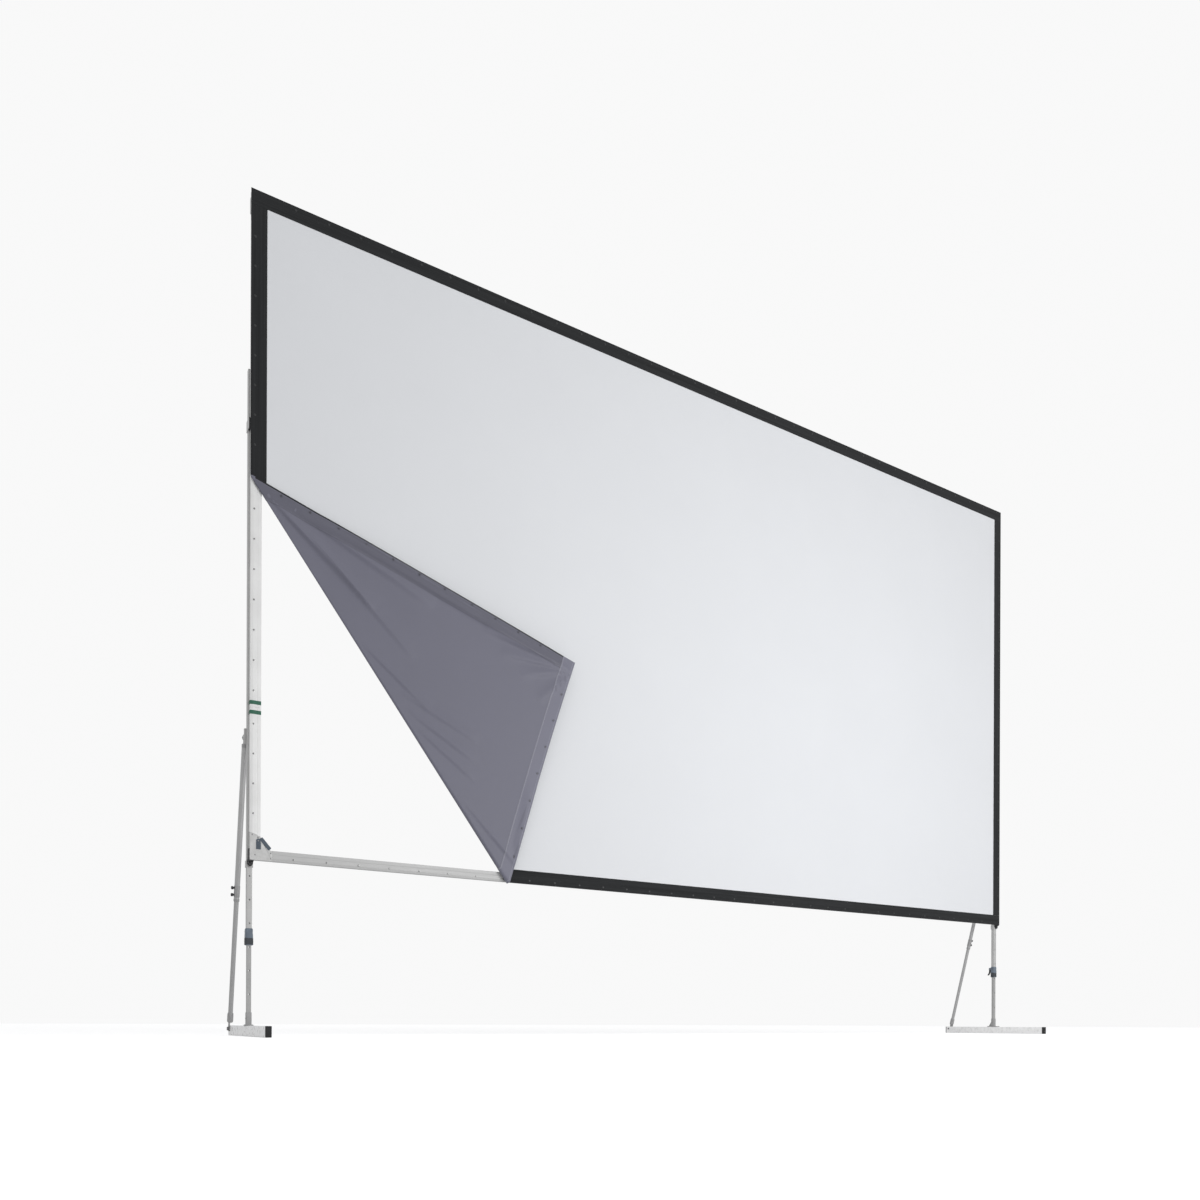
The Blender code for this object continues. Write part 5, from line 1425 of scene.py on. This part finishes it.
base_box = oblong(-BASE_HALF, BASE_HALF, -BASE_REACH, BASE_REACH)
socket_root = BASE_HIGH - CAST_RIM
socket_rings = (
    (SOCKET_HALF + 0.0008, 0.004, socket_root), (SOCKET_HALF, CAST_CORNER, BASE_HIGH + 0.004),
    (SOCKET_HALF, CAST_CORNER, SOCKET_HIGH - CAST_RIM), (SOCKET_HALF - CAST_RIM, CAST_CORNER, SOCKET_HIGH),
    (INNER_BORE, TUBE_EDGE, SOCKET_HIGH), (INNER_BORE, TUBE_EDGE, socket_root),
)
reach = BASE_REACH - BASE_SCREW_IN
spots = np.array([(out, y, BASE_HIGH) for out in (-BASE_SCREW_OUT, BASE_SCREW_OUT) for y in (-reach, reach)])
for side, sign in LEGS.items():
    place = leg_placer(sign)
    tube = square_tube(INNER_HALF, UPRIGHT_WALL, tube_foot, tube_top, place)
    holes = index_holes(tube_foot, tube_top, INNER_HALF, place)
    add(f"{side}_sliding_tube", [tube], INNER_TUBE, f"{side}_leg", [f"{side}_inner_tube"], holes=holes)
    shapes = [
        slab(base_box, BASE_LOW, BASE_HIGH, ALONG_Z, CAST_RIM, BASE_CORNER, place),
        squares(socket_rings, ALONG_Z, place, closed=True),
        slab(WEB, -WEB_HALF, WEB_HALF, ALONG_X, CAST_RIM, CAST_CORNER, place),
    ]
    add(f"{side}_foot_socket", shapes, DARK_CAST, f"{side}_leg", [f"{side}_foot_bracket"])
    heads = [screw(spot, (0, 0, 1), *BASE_SCREW) for spot in place(spots)]
    bolt_spot = placed(place, SOCKET_HALF, 0, (BASE_HIGH + SOCKET_HIGH) / 2)
    heads.append(screw(bolt_spot, (sign, 0, 0), *SOCKET_BOLT))
    add(f"{side}_foot_screws", heads, STEEL, f"{side}_leg")

# Foot bars: pale coated box section that runs front to back under each leg, a ridged rubber cap on
# the front end, a flat plug in the rear end, and a cross pin with a nut that the brace hangs on.
BAR_HALF = 0.015
BAR_H = 0.060
BAR_WALL = 0.0025
BAR_EDGE = 0.003
PIN_AT = (0.485, 0.040)
PIN_HOLE_R = 0.0043
PIN_SHANK_R = 0.004
RIDGE = 0.0008
RIDGE_COUNT = 3
RIDGE_STEPS = ((0, -0.0010), (RIDGE, -0.0004), (RIDGE, 0.0004), (0, 0.0010))
NUT_SIDES = 6
HARD_SMOOTH = 25
SHANK = ((0, -0.0205), (0.0032, -0.0205), (PIN_SHANK_R, -0.0197), (PIN_SHANK_R, 0.0225), (0, 0.0225))
PIN_HEAD = (
    (0, 0.022), (0.0100, 0.022), (0.0110, 0.0232), (0.0110, 0.0285), (0.0098, 0.0300), (0.0050, 0.0300),
    (0, 0.0296),
)
PIN_HEAD_SIDES = 40
PIN_HEAD_TEETH = 20
PIN_HEAD_SWELL = 0.02
PIN_NUT = ((0, -0.0193), (0.0068, -0.0193), (0.0078, -0.0186), (0.0078, -0.0155), (0, -0.0155))
PALE = moulded(
    "pale_coating", "pale_foot_bar", (0.95, 0.95, 0.945), 0.30, 0.0014, 0.08, 0.0, (0.97, 0.97, 0.965)
)
bar_front, bar_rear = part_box("left_foot_bar")[0].y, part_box("left_foot_bar")[1].y
cap_front, end_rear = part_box("left_foot_cap")[0].y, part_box("left_foot_end")[1].y
cap_plug, end_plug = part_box("left_foot_cap")[1].y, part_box("left_foot_end")[0].y
outer = rounded(oblong(-BAR_HALF, BAR_HALF, 0, BAR_H), BAR_EDGE)
bore = rounded(oblong(BAR_WALL - BAR_HALF, BAR_HALF - BAR_WALL, BAR_WALL, BAR_H - BAR_WALL), BAR_EDGE / 4)
bar_rings = [
    (inset(outer, END_EASE), bar_front), (outer, bar_front + END_EASE), (outer, bar_rear - END_EASE),
    (inset(outer, END_EASE), bar_rear), (bore, bar_rear), (bore, bar_front),
]
drawn = BAR_WALL + FIT
cap_face, end_face = bar_front - FIT, bar_rear + FIT
cap_steps = [(0.0035, cap_front), (0.0012, cap_front + 0.0008), (0, cap_front + 0.0030)]
for groove in np.linspace(cap_front + 0.005, cap_face - 0.005, RIDGE_COUNT):
    cap_steps += [(deep, groove + step) for deep, step in RIDGE_STEPS]
cap_steps += [(0, cap_face), (drawn, cap_face), (drawn, cap_plug - 0.001), (drawn + 0.0008, cap_plug)]
end_steps = [
    (drawn + 0.0008, end_plug), (drawn, end_plug + 0.001), (drawn, end_face), (0, end_face),
    (0, end_rear - 0.002), (0.0006, end_rear - 0.0006), (0.002, end_rear),
]


def stepped(outline, steps, order, to):
    """A skin over one outline, drawn in by a distance at each level."""
    return skin([to(ring(inset(outline, drawn_in), at, order)) for drawn_in, at in steps])


for side, sign in LEGS.items():
    place = leg_placer(sign)
    leg = f"{side}_leg"
    box = skin([place(ring(loop, at, ALONG_Y)) for loop, at in bar_rings], closed=True)
    pin_centre = placed(place, 0, *PIN_AT)
    hole = turned(rod(PIN_HOLE_R, -2 * BAR_HALF, 2 * BAR_HALF), pin_centre, (1, 0, 0), PIN_SIDES)
    add(f"{side}_foot_box_section", [box], PALE, leg, [f"{side}_foot_bar"], holes=[hole])
    rubber = stepped(outer, cap_steps, ALONG_Y, place)
    add(f"{side}_foot_rubber", [rubber], RUBBER, leg, [f"{side}_foot_cap"])
    stopper = stepped(outer, end_steps, ALONG_Y, place)
    add(f"{side}_foot_end_plug", [stopper], DARK_CAST, leg, [f"{side}_foot_end"])
    out = (sign, 0, 0)
    pin = [
        turned(SHANK, pin_centre, out, PIN_SIDES),
        turned(PIN_HEAD, pin_centre, out, PIN_HEAD_SIDES, PIN_HEAD_TEETH, PIN_HEAD_SWELL),
        turned(PIN_NUT, pin_centre, out, NUT_SIDES),
    ]
    add(f"{side}_brace_foot_pin", pin, STEEL, leg, [f"{side}_foot_pin"], angle=HARD_SMOOTH)

# Brace brackets: a plate screwed on the back of each upright, with two rounded ears and a bolt through
# them that the brace swings on.
BRACE_OUT = 0.014
BRACE_AT = (0.050, 1.700)
PLATE_HALF_H = 0.045
PLATE_IN = -0.015
PLATE_OUT = 0.0265
EAR_NEAR = 0.0085
EAR_FAR = 0.0125
EAR_HALF = 0.013
EAR_TIP = 0.062
BOLT_R = 0.004
BOLT_HEAD = (0.0068, 0.0030)
BOLT_NUT = ((0, -0.0002), (0.0066, -0.0002), (0.0066, 0.0036), (0.0058, 0.0042), (0, 0.0042))
PLATE_EDGE = 0.0008
PLATE_CORNER = 0.005
PLATE_SCREW = 0.034
EAR_INTO = 0.001
BRACKET_EDGE = 0.0006
BRACKET_ARC = 6
bolt_y, bolt_z = BRACE_AT
plate_box = oblong(PLATE_IN, PLATE_OUT, bolt_z - PLATE_HALF_H, bolt_z + PLATE_HALF_H)
ear_box = oblong(hook_face - EAR_INTO, EAR_TIP, bolt_z - EAR_HALF, bolt_z + EAR_HALF)
ear_t, ear_round = EAR_FAR - EAR_NEAR, EAR_HALF * 0.9
spots = np.array([(0.0, hook_face, bolt_z + step) for step in (-PLATE_SCREW, PLATE_SCREW)])
for side, sign in LEGS.items():
    place = leg_placer(sign)
    shapes = [slab(plate_box, hook_back, hook_face, ALONG_Y, PLATE_EDGE, PLATE_CORNER, place)]
    for low in (BRACE_OUT + EAR_NEAR, BRACE_OUT - EAR_FAR):
        shapes.append(slab(ear_box, low, low + ear_t, ALONG_X, BRACKET_EDGE, ear_round, place, BRACKET_ARC))
    add(f"{side}_brace_ears", shapes, LEG_TUBE, "frame", [f"{side}_brace_bracket"])
    centre = placed(place, BRACE_OUT, bolt_y, bolt_z)
    bolt = [
        turned(rod(BOLT_R, -EAR_FAR, EAR_FAR), centre, (1, 0, 0), PIN_SIDES),
        screw(centre + (EAR_FAR * sign, 0, 0), (sign, 0, 0), *BOLT_HEAD),
        turned(BOLT_NUT, centre - (EAR_FAR * sign, 0, 0), (-sign, 0, 0), NUT_SIDES),
    ]
    bolt += [screw(spot, (0, 1, 0)) for spot in place(spots)]
    add(f"{side}_brace_bolts", bolt, STEEL, "frame", angle=HARD_SMOOTH)

# Braces: two drawn round tubes, one sliding in the other, that lean back from the bracket to the foot bar.
# The upper one has an eye on the bolt, a clamp band with two knob screws and a bush at its mouth;
# the lower one ends in a cast fitting whose cheek goes over the foot pin.
BRACE_LEAN = math.atan2(PIN_AT[0] - BRACE_AT[0], BRACE_AT[1] - PIN_AT[1])
BRACE_L = math.hypot(PIN_AT[0] - BRACE_AT[0], BRACE_AT[1] - PIN_AT[1])
UPPER_R = 0.0155
UPPER_BORE = 0.0138
LOWER_R = 0.0135
LOWER_BORE = 0.0118
UPPER_ENDS = (-0.040, -0.935)
LOWER_ENDS = (-0.515, -1.675)
KNOB_PLACES = {"upper": -0.858, "lower": -0.899}
BAND_R = 0.0168
BAND_PAST = 0.013
EYE_R = 0.012
EYE_HALF = 0.008
EYE_EASE = 0.0008
STRAP_HALF = 0.0085
STRAP_LOW = -0.046
STRAP_HIGH = -0.009
STRAP_EDGE = 0.001
STRAP_CORNER = 0.002
CHEEK_LOW = 0.0015
CHEEK_HIGH = 0.0075
CHEEK_R = 0.016
CHEEK_ROOT = -1.660
CHEEK_EDGE = 0.0008
CHEEK_CORNER = 0.0004
CHEEK_HOLE_R = 0.0095
CHEEK_DRILL = (-0.003, 0.012)
ROUND_STEPS = 17
TUBE_SIDES = 32
BRACE_UPPER = metal(
    "brace_upper_tube", "leg_aluminium", (0.46, 0.46, 0.46), "Z", BRACE_LEAN, roughness=0.33, metallic=0.35
)
BRACE_LOWER = metal(
    "brace_lower_tube", "leg_aluminium", (0.42, 0.42, 0.42), "Z", BRACE_LEAN, roughness=0.32, metallic=0.35
)
BOSS = ((0.0070, 0.0142), (0.0070, 0.0198), (0.0063, 0.0205), (0.0034, 0.0205), (0.0034, 0.0142))
KNOB_BRACE = (
    (0, 0.0144), (0.0028, 0.0144), (0.0028, 0.0211), (0.0070, 0.0215), (0.0088, 0.0222), (0.0091, 0.0238),
    (0.0091, 0.0295), (0.0084, 0.0322), (0.0068, 0.0334), (0.0040, 0.0335), (0, 0.0331),
)
BUSH = (
    (0.0160, -0.922), (0.0166, -0.924), (0.0166, -0.936), (0.0158, -0.938), (0.0139, -0.938),
    (0.0139, -0.922),
)
FITTING = (
    (0.0138, -1.616), (0.0158, -1.618), (0.0168, -1.622), (0.0175, -1.630), (0.0175, -1.664),
    (0.0168, -1.671), (0.0145, -1.6755), (0, -1.6765),
)
MOUTH = ((0, -0.034), (0.0135, -0.034), (0.0162, -0.037), (0.0162, -0.052), (0.0154, -0.056), (0, -0.056))
EYE_RING = (
    (EYE_R - EYE_EASE, -EYE_HALF), (EYE_R, EYE_EASE - EYE_HALF), (EYE_R, EYE_HALF - EYE_EASE),
    (EYE_R - EYE_EASE, EYE_HALF), (HOLE_R, EYE_HALF), (HOLE_R, -EYE_HALF),
)


def brace_placer(sign):
    """Turns a point of the brace's own frame, hung at its bolt, into X, Y and Z.

    The frame leans about the bolt: y and z turn by the lean, and a distance outward is added to the bolt's.
    """
    cosine, sine = math.cos(BRACE_LEAN), math.sin(BRACE_LEAN)

    def place(points):
        """The points, leaned about the bolt and moved out to their leg."""
        x = sign * (leg_x + BRACE_OUT + points[:, 0])
        y = BRACE_AT[0] + points[:, 1] * cosine - points[:, 2] * sine
        z = BRACE_AT[1] + points[:, 1] * sine + points[:, 2] * cosine
        return np.stack([x, y, z], 1)

    return place


def hollow(outer, bore, high, low, centre, axis):
    """A round tube with eased ends, turned about the brace's axis."""
    eased = outer - END_EASE
    profile = (
        (eased, low), (outer, low + END_EASE), (outer, high - END_EASE), (eased, high), (bore, high),
        (bore, low),
    )
    return turned(profile, centre, axis, TUBE_SIDES, closed=True)


up = np.array([0, -math.sin(BRACE_LEAN), math.cos(BRACE_LEAN)])
strap_box = oblong(-STRAP_HALF, STRAP_HALF, STRAP_LOW, STRAP_HIGH)
band_ends = (KNOB_PLACES["upper"] + BAND_PAST, KNOB_PLACES["lower"] - BAND_PAST)
round_end = np.linspace(math.pi, 2 * math.pi, ROUND_STEPS)
cheek_end = np.stack([CHEEK_R * np.cos(round_end), CHEEK_R * np.sin(round_end) - BRACE_L], 1)
cheek_outline = np.concatenate([cheek_end, [(LOWER_R, CHEEK_ROOT), (-LOWER_R, CHEEK_ROOT)]])
for side, sign in LEGS.items():
    place = brace_placer(sign)
    bolt_at, out = placed(place, 0, 0, 0), (sign, 0, 0)
    upper, lower = f"{side}_brace_upper", f"{side}_brace_lower"
    tube = hollow(UPPER_R, UPPER_BORE, *UPPER_ENDS, bolt_at, up)
    add(f"{upper}_tube", [tube], BRACE_UPPER, upper, [upper])
    shapes = [
        turned(EYE_RING, bolt_at, out, FINE_SIDES, closed=True),
        slab(strap_box, -EYE_HALF, EYE_HALF, ALONG_X, STRAP_EDGE, STRAP_CORNER, place),
        turned(MOUTH, bolt_at, up, FINE_SIDES),
    ]
    add(f"{upper}_eye", shapes, DARK_CAST, upper)
    add(f"{upper}_clamp_band", [hollow(BAND_R, UPPER_R - FIT, *band_ends, bolt_at, up)], DARK_CAST, upper)
    knobs_at = {which: placed(place, 0, 0, along) for which, along in KNOB_PLACES.items()}
    seats = [turned(BOSS, knob_at, out, PIN_SIDES, closed=True) for knob_at in knobs_at.values()]
    add(f"{upper}_knob_seats", seats, BLACK, upper)
    add(f"{upper}_bush", [turned(BUSH, bolt_at, up, FINE_SIDES, closed=True)], DARK_CAST, upper)
    for which, knob_at in knobs_at.items():
        knob = turned(KNOB_BRACE, knob_at, out, KNOB_SIDES, KNOB_LOBES, KNOB_SWELL)
        node = f"{side}_brace_knob_{which}"
        add(f"{node}_head", [knob], BLACK, node, [node], angle=KNOB_SMOOTH)

    tube = hollow(LOWER_R, LOWER_BORE, *LOWER_ENDS, bolt_at, up)
    add(f"{lower}_tube", [tube], BRACE_LOWER, lower, [lower])
    add(f"{lower}_fitting", [turned(FITTING, bolt_at, up, TUBE_SIDES)], DARK_CAST, lower)
    cheek = slab(cheek_outline, CHEEK_LOW, CHEEK_HIGH, ALONG_X, CHEEK_EDGE, CHEEK_CORNER, place)
    hole = turned(rod(CHEEK_HOLE_R, *CHEEK_DRILL), placed(place, 0, 0, -BRACE_L), out, FINE_SIDES)
    add(f"{lower}_cheek", [cheek], DARK_CAST, lower, holes=[hole])
